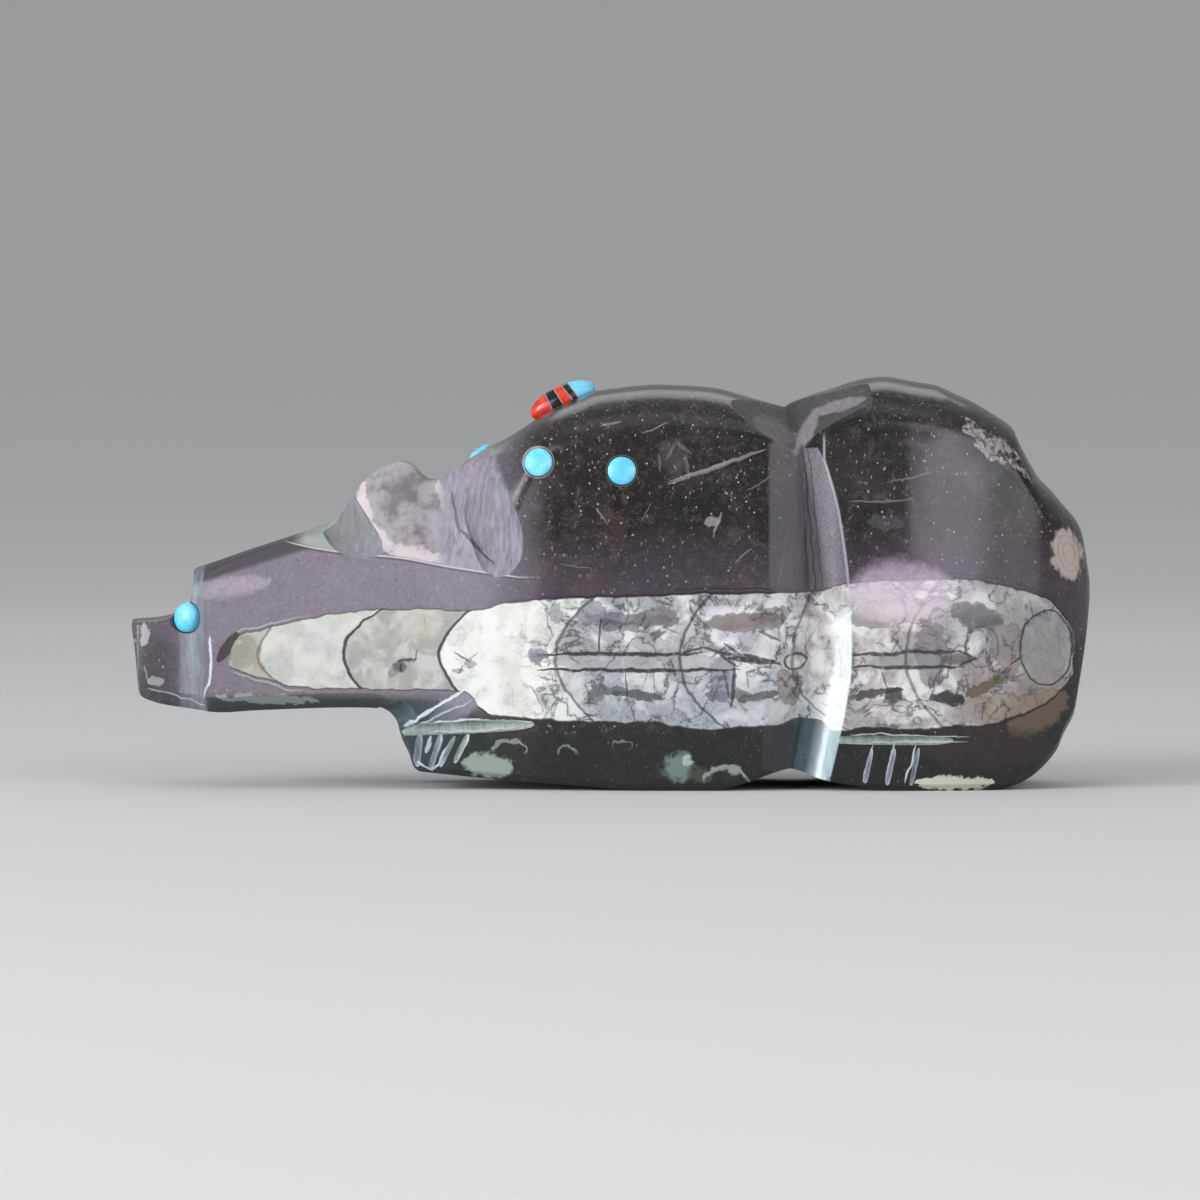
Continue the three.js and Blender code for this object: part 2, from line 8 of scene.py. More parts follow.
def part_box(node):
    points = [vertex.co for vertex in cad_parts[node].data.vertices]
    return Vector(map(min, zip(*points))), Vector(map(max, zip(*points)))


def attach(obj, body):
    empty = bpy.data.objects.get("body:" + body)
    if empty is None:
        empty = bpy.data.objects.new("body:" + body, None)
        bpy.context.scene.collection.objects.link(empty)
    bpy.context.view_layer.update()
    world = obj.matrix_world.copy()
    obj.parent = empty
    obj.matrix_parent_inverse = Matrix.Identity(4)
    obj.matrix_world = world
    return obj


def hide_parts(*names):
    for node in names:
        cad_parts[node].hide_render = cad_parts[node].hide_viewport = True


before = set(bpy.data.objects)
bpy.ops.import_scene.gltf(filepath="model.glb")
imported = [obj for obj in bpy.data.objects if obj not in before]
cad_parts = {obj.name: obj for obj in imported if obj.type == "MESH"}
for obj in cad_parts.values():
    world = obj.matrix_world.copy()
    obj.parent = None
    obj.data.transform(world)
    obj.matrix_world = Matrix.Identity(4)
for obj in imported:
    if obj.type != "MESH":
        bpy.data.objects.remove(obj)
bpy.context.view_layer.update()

# The slab: the bear's body before any groove, sawn from black limestone with a long fossil shell in it.
# Its outline, its flank and its crown are drawn as shares of the bear's length, height and half width.
# Everything here is in millimetres and is turned into metres when a piece is put in place.
BODY_LENGTH = 102.2
BODY_HEIGHT = 43.7
HALF_WIDTH = 13.8
FLANK_BULGE, FLANK_MIDDLE, FLANK_REACH = 1.7, 0.32, 0.51
JAW_BEVEL, BODY_BEVEL, JAW_END, BODY_START = 1.6, 0.7, 0.26, 0.31
HEAD_ROUNDNESS, BACK_ROUNDNESS, NAPE_START, NAPE_END = 3.6, 2.2, 0.2, 0.42
EAR_EDGE, EAR_SLOPE_END = 0.5, 0.625
EAR_FRONT, EAR_BACK = (0.2, 0.24), (0.33, 0.4)
HAND_SWELL, HAND_RIPPLE = 0.09, 0.025

BACK = [
    [(0, 0.407), (0.027, 0.412), (0.043, 0.422), (0.055, 0.433), (0.061, 0.455), (0.064, 0.48)],
    [(0.065, 0.533), (0.08, 0.544), (0.122, 0.578), (0.164, 0.61), (0.195, 0.635), (0.211, 0.652),
     (0.221, 0.679), (0.232, 0.71), (0.244, 0.75), (0.258, 0.773), (0.27, 0.786), (0.282, 0.793),
     (0.292, 0.784), (0.3, 0.763), (0.308, 0.75), (0.319, 0.748)],
    [(0.319, 0.748), (0.326, 0.76), (0.347, 0.792), (0.368, 0.824), (0.389, 0.848), (0.41, 0.878),
     (0.431, 0.912), (0.447, 0.934), (0.468, 0.953), (0.484, 0.966), (0.536, 0.98), (0.567, 0.98),
     (0.609, 0.973), (0.641, 0.953), (0.667, 0.936), (0.682, 0.926)],
    [(0.682, 0.926), (0.689, 0.938), (0.709, 0.956), (0.73, 0.971), (0.751, 0.988), (0.77, 0.998),
     (0.79, 1), (0.819, 0.988), (0.84, 0.98), (0.856, 0.963), (0.877, 0.941), (0.898, 0.912),
     (0.919, 0.878), (0.929, 0.834), (0.945, 0.762), (0.961, 0.722), (0.974, 0.686), (0.987, 0.65),
     (0.994, 0.61), (1, 0.522)],
]
BELLY = [
    [(0, 0.375), (0.003, 0.319), (0.006, 0.24), (0.009, 0.221), (0.017, 0.211), (0.038, 0.198),
     (0.09, 0.184), (0.132, 0.189), (0.206, 0.196), (0.253, 0.196), (0.266, 0.189), (0.274, 0.174),
     (0.279, 0.154), (0.284, 0.118), (0.29, 0.091), (0.295, 0.056), (0.301, 0.043)],
    [(0.301, 0.043), (0.384, 0.025), (0.447, 0.015), (0.53, 0)],
    [(0.53, 0), (0.609, 0)],
    [(0.609, 0), (0.641, 0.02), (0.662, 0.039), (0.678, 0.051), (0.686, 0.053)],
    [(0.686, 0.053), (0.699, 0.044), (0.72, 0.026), (0.761, 0.008), (0.79, 0)],
    [(0.79, 0), (0.893, 0)],
    [(0.893, 0), (0.919, 0.012), (0.94, 0.039), (0.961, 0.088), (0.971, 0.135), (0.982, 0.181),
     (0.987, 0.238), (0.992, 0.302), (0.997, 0.38), (1, 0.441)],
]
FLANK_TOP = [
    [(0, 0.39), (0.04, 0.39), (0.064, 0.44)],
    [(0.065, 0.478), (0.1, 0.527), (0.166, 0.6)],
    [(0.166, 0.6), (0.232, 0.569), (0.334, 0.539), (0.37, 0.552), (0.395, 0.62), (0.415, 0.74),
     (0.447, 0.81), (0.53, 0.828), (0.678, 0.828), (0.751, 0.858), (0.814, 0.86), (0.87, 0.82),
     (0.919, 0.74), (0.966, 0.6), (1, 0.49)],
]
PLAN = [
    [(0, 0.29), (0.004, 0.33), (0.012, 0.355), (0.049, 0.37)],
    [(0.049, 0.37), (0.062, 0.395), (0.071, 0.44), (0.077, 0.5), (0.08, 0.575)],
    [(0.08, 0.585), (0.13, 0.615), (0.211, 0.674), (0.31, 0.768), (0.39, 0.87), (0.447, 0.94),
     (0.53, 0.985), (0.65, 0.997), (0.75, 1), (0.808, 1)],
    [(0.808, 1), (0.857, 0.968), (0.905, 0.866), (0.946, 0.707), (0.977, 0.5), (0.994, 0.32),
     (1, 0.21)],
]
STATIONS = 300
SECTION_STEPS = (3, 5, 44, 48)  # under the belly, on the bevel, up the flank and over the crown
BOX_CLEARANCE = 1e-4


def drawn_line(strokes):
    """A height or width along the body, read off strokes of smooth curve that meet at corners."""
    shares, values = [], []
    for stroke in strokes:
        through = np.array([stroke[0], *stroke, stroke[-1]], float)
        t = np.linspace(0, 1, 13)[:, None]
        for before, a, b, after in zip(through, through[1:], through[2:], through[3:]):
            leave, arrive = (b - before) / 2, (after - a) / 2
            curve = ((2 * a - 2 * b + leave + arrive) * t ** 3
                     + (3 * b - 3 * a - 2 * leave - arrive) * t ** 2 + leave * t + a)
            shares.extend(curve[:, 0])
            values.extend(curve[:, 1])
    shares = np.maximum.accumulate(shares)
    values = np.array(values)

    def at(x):
        i = np.clip(np.searchsorted(shares, x), 1, len(shares) - 1)
        span = shares[i] - shares[i - 1]
        part = (x - shares[i - 1]) / span if span > 1e-9 else 1
        return values[i - 1] + (values[i] - values[i - 1]) * min(max(part, 0), 1)

    return at


back_line, belly_line = drawn_line(BACK), drawn_line(BELLY)
flank_top_line, plan_line = drawn_line(FLANK_TOP), drawn_line(PLAN)


def x_at(share):
    return (share - 0.5) * BODY_LENGTH


def z_at(share):
    return share * BODY_HEIGHT


def back_slope(share, reach=0.008):
    """How steeply the back climbs, at one share of the length."""
    return (z_at(back_line(share + reach)) - z_at(back_line(share - reach))) / (2 * reach * BODY_LENGTH)


def blend(a, b, part):
    return a + (b - a) * part


def smoothstep(x, low, high):
    part = min(max((x - low) / (high - low), 0), 1)
    return part * part * (3 - 2 * part)


def half_section(x, steps):
    """Points of the section at one share of the length, from under the belly up to the spine."""
    z_low, z_top = z_at(belly_line(x)), z_at(back_line(x))
    half = plan_line(x) * HALF_WIDTH
    bevel = blend(BODY_BEVEL, JAW_BEVEL, 1 - smoothstep(x, JAW_END, BODY_START))
    rise, inset = min(bevel, (z_top - z_low) * 0.3), min(bevel, half * 0.5)
    z_bevel = z_low + rise
    z_flank = max(z_at(min(flank_top_line(x), back_line(x) - 0.02)), z_bevel + 0.1)

    def flank(z):
        away = (z / BODY_HEIGHT - FLANK_MIDDLE) / FLANK_REACH
        return half - np.minimum(FLANK_BULGE * away * away, half * 0.6)

    y_bevel, y_flank = flank(z_bevel), flank(z_flank)
    floor = np.linspace(0, 1, steps[0], endpoint=False)
    under = np.stack([(y_bevel - inset) * floor, np.full_like(floor, z_low)], 1)
    slant = np.linspace(0, 1, steps[1], endpoint=False)
    chamfer = np.stack([y_bevel - inset * (1 - slant), z_low + rise * slant], 1)
    z_side = np.linspace(z_bevel, z_flank, steps[2], endpoint=False)
    side = np.stack([flank(z_side), z_side], 1)

    share = np.linspace(0, 1, steps[3] + 1)
    power = 2 / blend(HEAD_ROUNDNESS, BACK_ROUNDNESS, smoothstep(x, NAPE_START, NAPE_END))
    dome_y = y_flank * np.cos(share * math.pi / 2).clip(0) ** power
    dome_z = blend(z_flank, z_top, np.sin(share * math.pi / 2) ** power)
    ear_edge = min(EAR_EDGE * HALF_WIDTH, y_flank * 0.9)
    slope = np.minimum(share / EAR_SLOPE_END, 1)
    ear_y = np.where(share < EAR_SLOPE_END, blend(y_flank, ear_edge, slope),
                     ear_edge * (1 - share) / (1 - EAR_SLOPE_END))
    ear = smoothstep(x, *EAR_FRONT) * (1 - smoothstep(x, *EAR_BACK))
    crown = np.stack([blend(dome_y, ear_y, ear), blend(dome_z, blend(z_flank, z_top, slope), ear)], 1)
    return np.concatenate([under, chamfer, side, crown])


def stations(count):
    """Shares of the length, closer together where an outline turns steeply."""
    fine = np.linspace(0, 1, 2401)
    heights = [np.array([line(x) for x in fine]) for line in (back_line, belly_line, plan_line)]
    back, belly, plan = [np.abs(np.diff(h)) for h in heights]
    step = np.hypot(np.hypot(np.diff(fine) * BODY_LENGTH, 0.55 * (back + belly) * BODY_HEIGHT),
                    plan * HALF_WIDTH)
    return np.interp(np.linspace(0, step.sum(), count), np.append(0, np.cumsum(step)), fine)


def uneven(point):
    """How far the hand-ground side stands out or in at a point, in millimetres."""
    slow = noise.noise(Vector((point[0] * 0.07, point[1] * 0.1, point[2] * 0.09)))
    quick = noise.noise(Vector((point[0] * 0.21 + 7, point[1] * 0.2, point[2] * 0.23)))
    return HAND_SWELL * slow + HAND_RIPPLE * quick


def slab_mesh():
    """The slab as a closed mesh of rings from nose to rump."""
    rings = []
    for x in stations(STATIONS):
        half = half_section(x, SECTION_STEPS)
        y = np.concatenate([half[:, 0], -half[-2:0:-1, 0]])
        z = np.concatenate([half[:, 1], half[-2:0:-1, 1]])
        rings.append(np.stack([np.full_like(y, x_at(x)), y, z], 1))
    around = len(rings[0])
    points = np.concatenate(rings)
    soft = np.clip((points[:, 2] - 1) / 3, 0, 1)
    points[:, 1] += np.sign(points[:, 1]) * soft * [uneven(p) for p in points]
    low, high = [np.array(corner) * 1000 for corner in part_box("bear_body")]
    points = np.clip(points, low + (BOX_CLEARANCE, BOX_CLEARANCE, 0), high - BOX_CLEARANCE)
    i = np.arange(around)
    j = (i + 1) % around
    faces = []
    for r in range(len(rings) - 1):
        near, far = r * around, (r + 1) * around
        faces.extend(np.stack([near + i, near + j, far + j, far + i], 1).tolist())
    faces.append(i.tolist()[::-1])
    faces.append((i + (len(rings) - 1) * around).tolist())
    mesh = bpy.data.meshes.new("slab")
    mesh.from_pydata(points.tolist(), [], faces)
    mesh.validate()
    return mesh


# The cuts: what the maker ground, drilled or lost from the slab, in the places that the frame has them.
# A wheel leaves a round-bottomed groove, a pass over the waist leaves one crisp edge, and a drill a seat.
KINDS = ("uncut", "ground", "throat", "paw", "claw", "waist", "saddle", "broken", "drilled")


def on_side(x, z, side):
    """A point on the slab's side at shares of length and height, with its outward normal."""
    def y_at(xs, zs):
        half = half_section(xs, (8, 8, 60, 60))[8:]
        return np.interp(z_at(zs), half[:, 1], half[:, 0])

    reach = 0.004
    along_x = (y_at(x + reach, z) - y_at(x - reach, z)) / (2 * reach * BODY_LENGTH)
    along_z = (y_at(x, z + reach) - y_at(x, z - reach)) / (2 * reach * BODY_HEIGHT)
    point = Vector((x_at(x), side * y_at(x, z), z_at(z)))
    return point, Vector((-along_x, side, -along_z)).normalized()


def frame_at(origin, up, along):
    """Axes whose Y is up and whose X lies as near to along as it can."""
    z = along.cross(up).normalized()
    x = up.cross(z).normalized()
    axes = Matrix((x, up.normalized(), z)).transposed().to_4x4()
    axes.translation = origin
    return axes


def closed_mesh(rings, capped=True, looped=False):
    """A mesh through rings of points, with an n-sided cap at either end."""
    around = len(rings[0])
    faces = []
    for r in range(len(rings) - 1 + looped):
        near, far = r * around, (r + 1) % len(rings) * around
        for i in range(around):
            j = (i + 1) % around
            faces.append((near + i, near + j, far + j, far + i))
    if capped:
        faces.append(tuple(range(around))[::-1])
        faces.append(tuple(range((len(rings) - 1) * around, len(rings) * around)))
    mesh = bpy.data.meshes.new("cut")
    mesh.from_pydata([tuple(p) for ring in rings for p in ring], [], faces)
    turn_outward(mesh)
    return mesh


def turn_outward(mesh):
    """Turns every face round where the mesh is inside out."""
    mesh.calc_loop_triangles()
    points = [v.co for v in mesh.vertices]
    volume = sum(points[a].dot(points[b].cross(points[c]))
                 for a, b, c in (t.vertices for t in mesh.loop_triangles))
    if volume < 0:
        mesh.flip_normals()


def turned(profile, segments, place):
    """A solid turned about Y from (radius, height) points that start and end on the axis."""
    rings = []
    for k in range(segments):
        a = 2 * math.pi * k / segments
        rings.append([place @ Vector((r * math.cos(a), h, r * math.sin(a))) for r, h in profile[1:-1]])
    around = len(profile) - 2
    points = [p for ring in rings for p in ring]
    first, last = len(points), len(points) + 1
    points += [place @ Vector((0, profile[0][1], 0)), place @ Vector((0, profile[-1][1], 0))]
    faces = []
    for k in range(segments):
        near, far = k * around, (k + 1) % segments * around
        for i in range(around - 1):
            faces.append((near + i, near + i + 1, far + i + 1, far + i))
        faces.append((first, near, far))
        faces.append((last, far + around - 1, near + around - 1))
    mesh = bpy.data.meshes.new("turned")
    mesh.from_pydata(points, [], faces)
    turn_outward(mesh)
    return mesh


def arc(centre, radii, start, end, count):
    """Points of an elliptical arc."""
    angles = np.linspace(start, end, count)
    return [(centre[0] + radii[0] * math.cos(a), centre[1] + radii[1] * math.sin(a)) for a in angles]


def wheel_cut(groove, side):
    """A groove between two places on the side, as deep as given halfway along."""
    depth, width = groove["depth"], groove["width"]
    rim, tilt = groove.get("rim", depth), groove.get("tilt", 0)
    (x0, z0), (x1, z1) = groove["start"], groove["end"]
    a, b = on_side(x0, z0, side)[0], on_side(x1, z1, side)[0]
    middle, normal = on_side((x0 + x1) / 2, (z0 + z1) / 2, side)
    chord = (b - a).length
    radius = (chord * chord / 4 + depth * depth) / (2 * depth)
    along = (b - a).normalized()
    inward = -(Matrix.Rotation(side * tilt, 3, along) @ normal)
    across = along.cross(inward).normalized()
    centre = middle + inward * (depth - radius)
    profile = [(0, -width / 2), *arc((radius - rim, 0), (rim, width / 2), -math.pi / 2, math.pi / 2, 15),
               (0, width / 2)]
    facet = 2 * math.asin(chord / 2 / radius) / 22
    return turned(profile, math.ceil(2 * math.pi / facet), frame_at(centre, across, along))


NECK_SCOOP = dict(start=(0.356, 0.8), end=(0.402, 0.47), width=5.8, depth=1.3)
EAR_SCOOP = dict(start=(0.205, 0.68), end=(0.247, 0.585), width=5, depth=0.8)
THROAT_CUT = dict(start=(0.368, 0.303), end=(0.188, 0.05), width=2.9, depth=1.35, rim=0.6, tilt=0.32)
FORELEG_LINE = dict(start=(0.27, 0.143), end=(0.418, 0.16), width=1.3, depth=0.75)
HIND_LEG_LINE = dict(start=(0.715, 0.124), end=(0.876, 0.122), width=1, depth=0.7)
NOSE_NICK = dict(start=(-0.01, 0.357), end=(0.016, 0.357), width=0.5, depth=0.4)
CLAWS = [
    dict(start=(0.302, 0.135), end=(0.297, 0.035), width=0.8, depth=0.6),
    dict(start=(0.324, 0.137), end=(0.311, 0.035), width=0.6, depth=0.5),
    dict(start=(0.338, 0.13), end=(0.323, 0.055), width=0.5, depth=0.5),
    dict(start=(0.352, 0.135), end=(0.338, 0.065), width=0.6, depth=0.5),
    *[dict(start=(top, 0.106), end=(top - 0.009, 0.008), width=0.5, depth=0.45)
      for top in (0.769, 0.7925, 0.817)],
]

WAIST_X, WAIST_TOP, WAIST_BEND = 0.712, 0.828, 0.3
WAIST_DEPTH, WAIST_RADIUS, WAIST_REACH = 2.5, 4.4, 5.2
WAIST_LEAN, WAIST_FOOT_LEAN, WAIST_SHIFT, WAIST_FLARE = 0.06, 0.2, 0.2, 0.025
SADDLE_FRONT = ((-7.5, -3.4), (-2.4, -1.02), (0, 0))
SADDLE_BACK = ((0, 0), (2.52, -2.3), (8.4, -3.9))
SADDLE_FOOT_X, SADDLE_HEAD, SADDLE_CLEAR = 0.69, (0.683, 0.11, 0.931), 4
EAR_VALLEY_HALF, EAR_VALLEY_DEPTH = 0.26, 0.17
EAR_VALLEY_FRONT, EAR_VALLEY_BACK = (0.214, 0.66), (0.319, 0.742)
NOTCH_RADII, LEG_NOTCHES = (2.6, 1.7), ((0.29, 0.15), (0.955, 0.16))
CHIP_AT, CHIP_SIDE, CHIP_HOLLOW, CHIP_DEPTH = 0.93, 2.3, 5.2, 0.9
CHIP_RIPPLE, CHIP_SMOOTH = 0.22, 0.15


def waist_line(z):
    """Where the waist's pass runs at one height, and how far from the middle the slab's side lies there."""
    over = z - z_at(WAIST_BEND)
    above = (over + math.hypot(over, 4)) / 2
    line = x_at(WAIST_X) - WAIST_LEAN * above - WAIST_FOOT_LEAN * (above - over) + WAIST_SHIFT
    return line, HALF_WIDTH + WAIST_FLARE * above


def waist_cut(side):
    """The pass up the side: soft in front, concave, with a crisp edge against the haunch behind."""
    soft = [(blend(blend(-WAIST_REACH, -WAIST_REACH * 0.35, t), blend(-WAIST_REACH * 0.35, -0.4, t), t),
             blend(blend(0, WAIST_DEPTH * 0.35, t), blend(WAIST_DEPTH * 0.35, WAIST_DEPTH, t), t))
            for t in np.linspace(0, 1, 12)]
    wheel = arc((0, WAIST_DEPTH - WAIST_RADIUS), (WAIST_RADIUS, WAIST_RADIUS), math.pi / 2, 0.18, 18)
    profile = soft + wheel + [(WAIST_RADIUS, -4), (-WAIST_REACH - 4, -4)]
    rings = []
    for z in np.linspace(-0.9, z_at(WAIST_TOP), 48):
        line, out = waist_line(z)
        rings.append([(line + x, side * (out - y), z) for x, y in profile])
    return closed_mesh(rings)


def saddle_cut(side):
    """The pass over the back, a shallow valley that climbs from the flank to the spine."""
    def bow(start, pull, end):
        return [tuple(blend(blend(s, p, t), blend(p, e, t), t) for s, p, e in zip(start, pull, end))
                for t in np.linspace(0, 1, 14)]

    profile = bow(*SADDLE_FRONT) + bow(*SADDLE_BACK)[1:]
    over = SADDLE_BACK[2][1] - SADDLE_CLEAR
    profile += [(SADDLE_BACK[2][0], over), (SADDLE_FRONT[0][0], over)]
    foot = Vector((x_at(SADDLE_FOOT_X), side * (HALF_WIDTH - WAIST_DEPTH), z_at(WAIST_TOP)))
    head_x, head_y, head_z = SADDLE_HEAD
    head = Vector((x_at(head_x), side * HALF_WIDTH * head_y, z_at(head_z)))
    run = head - foot
    into = Vector((0, -side * run.z, -abs(run.y))).normalized()
    x_axis = Vector((1, 0, 0))
    rings = [[foot + run * part + x_axis * x + into * y for x, y in profile]
             for part in np.linspace(-0.25, 1, 12)]
    return closed_mesh(rings)


def ear_valley():
    """The trough between the ears, ground along the top of the head."""
    front, back = [Vector((x_at(x), 0, z_at(z))) for x, z in (EAR_VALLEY_FRONT, EAR_VALLEY_BACK)]
    run = back - front
    down = Vector((run.z, 0, -run.x)).normalized()
    half, depth = EAR_VALLEY_HALF * HALF_WIDTH, EAR_VALLEY_DEPTH * BODY_HEIGHT
    oval = arc((0, -depth), (half, depth), 0, 2 * math.pi, 49)[:-1]
    rings = [[front + run * part + Vector((0, 1, 0)) * y + down * d for y, d in oval]
             for part in (-0.5, 1.02)]
    return closed_mesh(rings)


def leg_notch(x, height):
    """An upright notch in one end that parts the two forepaws, or the two hind legs."""
    oval = arc((x, 0), NOTCH_RADII, 0, 2 * math.pi, 49)[:-1]
    return closed_mesh([[(px, py, z) for px, py in oval] for z in (-NOTCH_RADII[0], height)])


def rump_chip():
    """A flake lost from the rump's upper corner: a hollow with the ripples of a break."""
    out = Vector((-back_slope(CHIP_AT), -0.35, 1)).normalized()
    centre = Vector((x_at(CHIP_AT), -CHIP_SIDE, z_at(back_line(CHIP_AT)))) + out * (CHIP_HOLLOW - CHIP_DEPTH)
    rows, columns = 48, 96
    rings = []
    for r in range(1, rows):
        a = math.pi * r / rows
        ring = []
        for c in range(columns):
            b = 2 * math.pi * c / columns
            way = Vector((math.sin(a) * math.cos(b), math.sin(a) * math.sin(b) * 1.25, math.cos(a)))
            rough = CHIP_RIPPLE * noise.fractal(way * 7, 0.9, 2, 4)
            ring.append(centre + way * (CHIP_HOLLOW - CHIP_SMOOTH + min(rough, CHIP_SMOOTH)))
        rings.append(ring)
    return closed_mesh(rings)


def seat_cut(stone):
    """The drilled seat of a round stone, wider than the stone by the glue."""
    r = stone["diameter"] / 2 + GLUE
    low, high = -stone["depth"] - GLUE, stone["dome"] + 1
    return turned([(0, low), (r, low), (r, high), (0, high)], 48, stone["place"])


# Where each inlay stands. The round stones sit square to the surface; the eyes look forward and out.
# The bundle of five stones lies along the slope of the back in one egg-shaped pocket.
GLUE = 0.12
DOT_DEPTH, DOT_DOME, EYE_DEPTH, EYE_DOME = 1.4, 0.45, 1.6, 1.0
SHOULDER_DOT, NECK_DOT, EYE = 3.0, 2.6, 3.2
SHOULDER_DOT_SPOTS = (("front", (0.4248, 0.7926)), ("rear", (0.511, 0.772)))
NECK_DOT_X, EYE_SPOT, EYE_TURN, EYE_SUNK = 0.363, (0.0575, 0.4142), 0.72, 0.1
FORWARD = Vector((1, 0, 0))


def round_stones():
    """Each round stone: its name, its sizes and the frame that it stands in."""
    found = []
    for name, side in (("left", -1), ("right", 1)):
        for spot, (x, z) in SHOULDER_DOT_SPOTS:
            point, normal = on_side(x, z, side)
            found.append(dict(name=f"{name}_{spot}_turquoise_dot", diameter=SHOULDER_DOT, depth=DOT_DEPTH,
                              dome=DOT_DOME, place=frame_at(point, normal, FORWARD)))
        out = Vector((-math.sin(EYE_TURN), side * math.cos(EYE_TURN), 0.12)).normalized()
        seat = on_side(*EYE_SPOT, side)[0] - out * EYE_SUNK
        found.append(dict(name=f"{name}_eye", diameter=EYE, depth=EYE_DEPTH, dome=EYE_DOME,
                          place=frame_at(seat, out, Vector((0, 0, 1)))))
    spine = Vector((x_at(NECK_DOT_X), 0, z_at(back_line(NECK_DOT_X))))
    found.append(dict(name="neck_turquoise_dot", diameter=NECK_DOT, depth=DOT_DEPTH, dome=DOT_DOME,
                      place=frame_at(spine, Vector((-back_slope(NECK_DOT_X), 0, 1)), FORWARD)))
    return found


BUNDLE_X, BUNDLE_TILT, BUNDLE_LIFT = 0.4494, 0.444, 0.25
BUNDLE_SIZE = Vector((7.5, 3.3, 3.2))
BUNDLE_PLACE = (Matrix.Translation((x_at(BUNDLE_X), 0, z_at(back_line(BUNDLE_X)) + BUNDLE_LIFT))
                @ Matrix.Rotation(-BUNDLE_TILT, 4, "Y"))


def bundle_egg(grow, rows=48, columns=72):
    """The egg shape of the whole bundle, lying along its own X."""
    half = BUNDLE_SIZE / 2 + Vector((grow, grow, grow))
    profile = [(math.sin(math.pi * r / rows), -math.cos(math.pi * r / rows)) for r in range(rows + 1)]
    place = BUNDLE_PLACE @ Matrix.Diagonal((*half, 1)) @ Matrix.Rotation(-math.pi / 2, 4, "Z")
    return turned(profile, columns, place)


def carve(mesh, cuts, operation="DIFFERENCE"):
    """The mesh after each (cutter mesh, kind) is taken away. The kind tells the new faces apart."""
    body = bpy.data.objects.new("carving", mesh)
    bpy.context.scene.collection.objects.link(body)
    for kind in KINDS:
        mesh.materials.append(bpy.data.materials.get(kind) or bpy.data.materials.new(kind))
    tools = []
    for cutter, kind in cuts:
        tool = bpy.data.objects.new("cutter", cutter)
        for name in KINDS:
            cutter.materials.append(bpy.data.materials[name])
        cutter.polygons.foreach_set("material_index", [KINDS.index(kind)] * len(cutter.polygons))
        bpy.context.scene.collection.objects.link(tool)
        tools.append(tool)
        step = body.modifiers.new("cut", "BOOLEAN")
        step.operation = operation
        step.solver = "MANIFOLD"
        step.object = tool
    made = bpy.data.meshes.new_from_object(body.evaluated_get(bpy.context.evaluated_depsgraph_get()))
    for used in [body, *tools]:
        old = used.data
        bpy.data.objects.remove(used)
        bpy.data.meshes.remove(old)
    return made


cuts = []
for side in (-1, 1):
    for groove, kind in ((NECK_SCOOP, "ground"), (EAR_SCOOP, "ground"), (THROAT_CUT, "throat"),
                         (FORELEG_LINE, "paw"), (HIND_LEG_LINE, "paw"), (NOSE_NICK, "ground"),
                         *[(claw, "claw") for claw in CLAWS]):
        cuts.append((wheel_cut(groove, side), kind))
    cuts.append((waist_cut(side), "waist"))
    cuts.append((saddle_cut(side), "saddle"))
cuts.append((ear_valley(), "ground"))
for share, top in LEG_NOTCHES:
    cuts.append((leg_notch(x_at(share), z_at(top)), "ground"))
cuts.append((rump_chip(), "broken"))
cuts.append((bundle_egg(GLUE), "drilled"))
for stone in round_stones():
    cuts.append((seat_cut(stone), "drilled"))
carved = carve(slab_mesh(), cuts)
marks = np.zeros(len(carved.polygons), int)
carved.polygons.foreach_get("material_index", marks)
for number, kind in enumerate(KINDS):
    if number:
        cut_faces = (marks == number).astype(float)
        carved.attributes.new(kind, "FLOAT", "FACE").data.foreach_set("value", cut_faces)
for name, shares in (("matte", (0, 0.4, 0.2, 0.3, 0.3, 0, 0.3, 0.5, 0.3)),
                     ("tooled", (0, 1, 0, 1, 1, 0, 1, 0, 0))):
    carved.attributes.new(name, "FLOAT", "FACE").data.foreach_set("value", np.array(shares, float)[marks])
spots = np.zeros(len(carved.vertices) * 3, np.float32)
carved.vertices.foreach_get("co", spots)
carved.attributes.new("place", "FLOAT_VECTOR", "POINT").data.foreach_set("vector", spots)


class Value:
    """One output of a shader node, written into sums and products like a number."""

    def __init__(self, socket):
        self.socket = socket

    def node(self, kind, settings, inputs, output=0):
        """A new node of that kind, with its settings made first, and then its sockets filled or linked."""
        tree = self.socket.id_data
        made = tree.nodes.new("ShaderNode" + kind)
        for name, setting in settings.items():
            if name == "curve":
                draw_curve(made.mapping, setting)
            else:
                setattr(made, name, setting)
        for key, value in inputs.items():
            if isinstance(value, Value):
                tree.links.new(value.socket, made.inputs[key])
            else:
                made.inputs[key].default_value = value
        return Value(made.outputs[output])

    def maths(self, operation, *values):
        return self.node("Math", {"operation": operation}, dict(enumerate(values)))

    def __add__(self, other):
        return self.maths("ADD", self, other)

    def __radd__(self, other):
        return self.maths("ADD", other, self)

    def __sub__(self, other):
        return self.maths("SUBTRACT", self, other)

    def __rsub__(self, other):
        return self.maths("SUBTRACT", other, self)

    def __mul__(self, other):
        return self.maths("MULTIPLY", self, other)

    def __rmul__(self, other):
        return self.maths("MULTIPLY", other, self)

    def __abs__(self):
        return self.maths("ABSOLUTE", self)

    def most(self, other):
        return self.maths("MAXIMUM", self, other)

    def least(self, other):
        return self.maths("MINIMUM", self, other)

    def fade(self, low, high, most=1):
        """0 at low and most at high, with a soft start and end. It runs down where low is the larger."""
        return self.node("MapRange", {"interpolation_type": "SMOOTHSTEP", "clamp": False},
                         {0: self, 1: low, 2: high, 4: most})

    def feed(self, socket):
        self.socket.id_data.links.new(self.socket, socket)


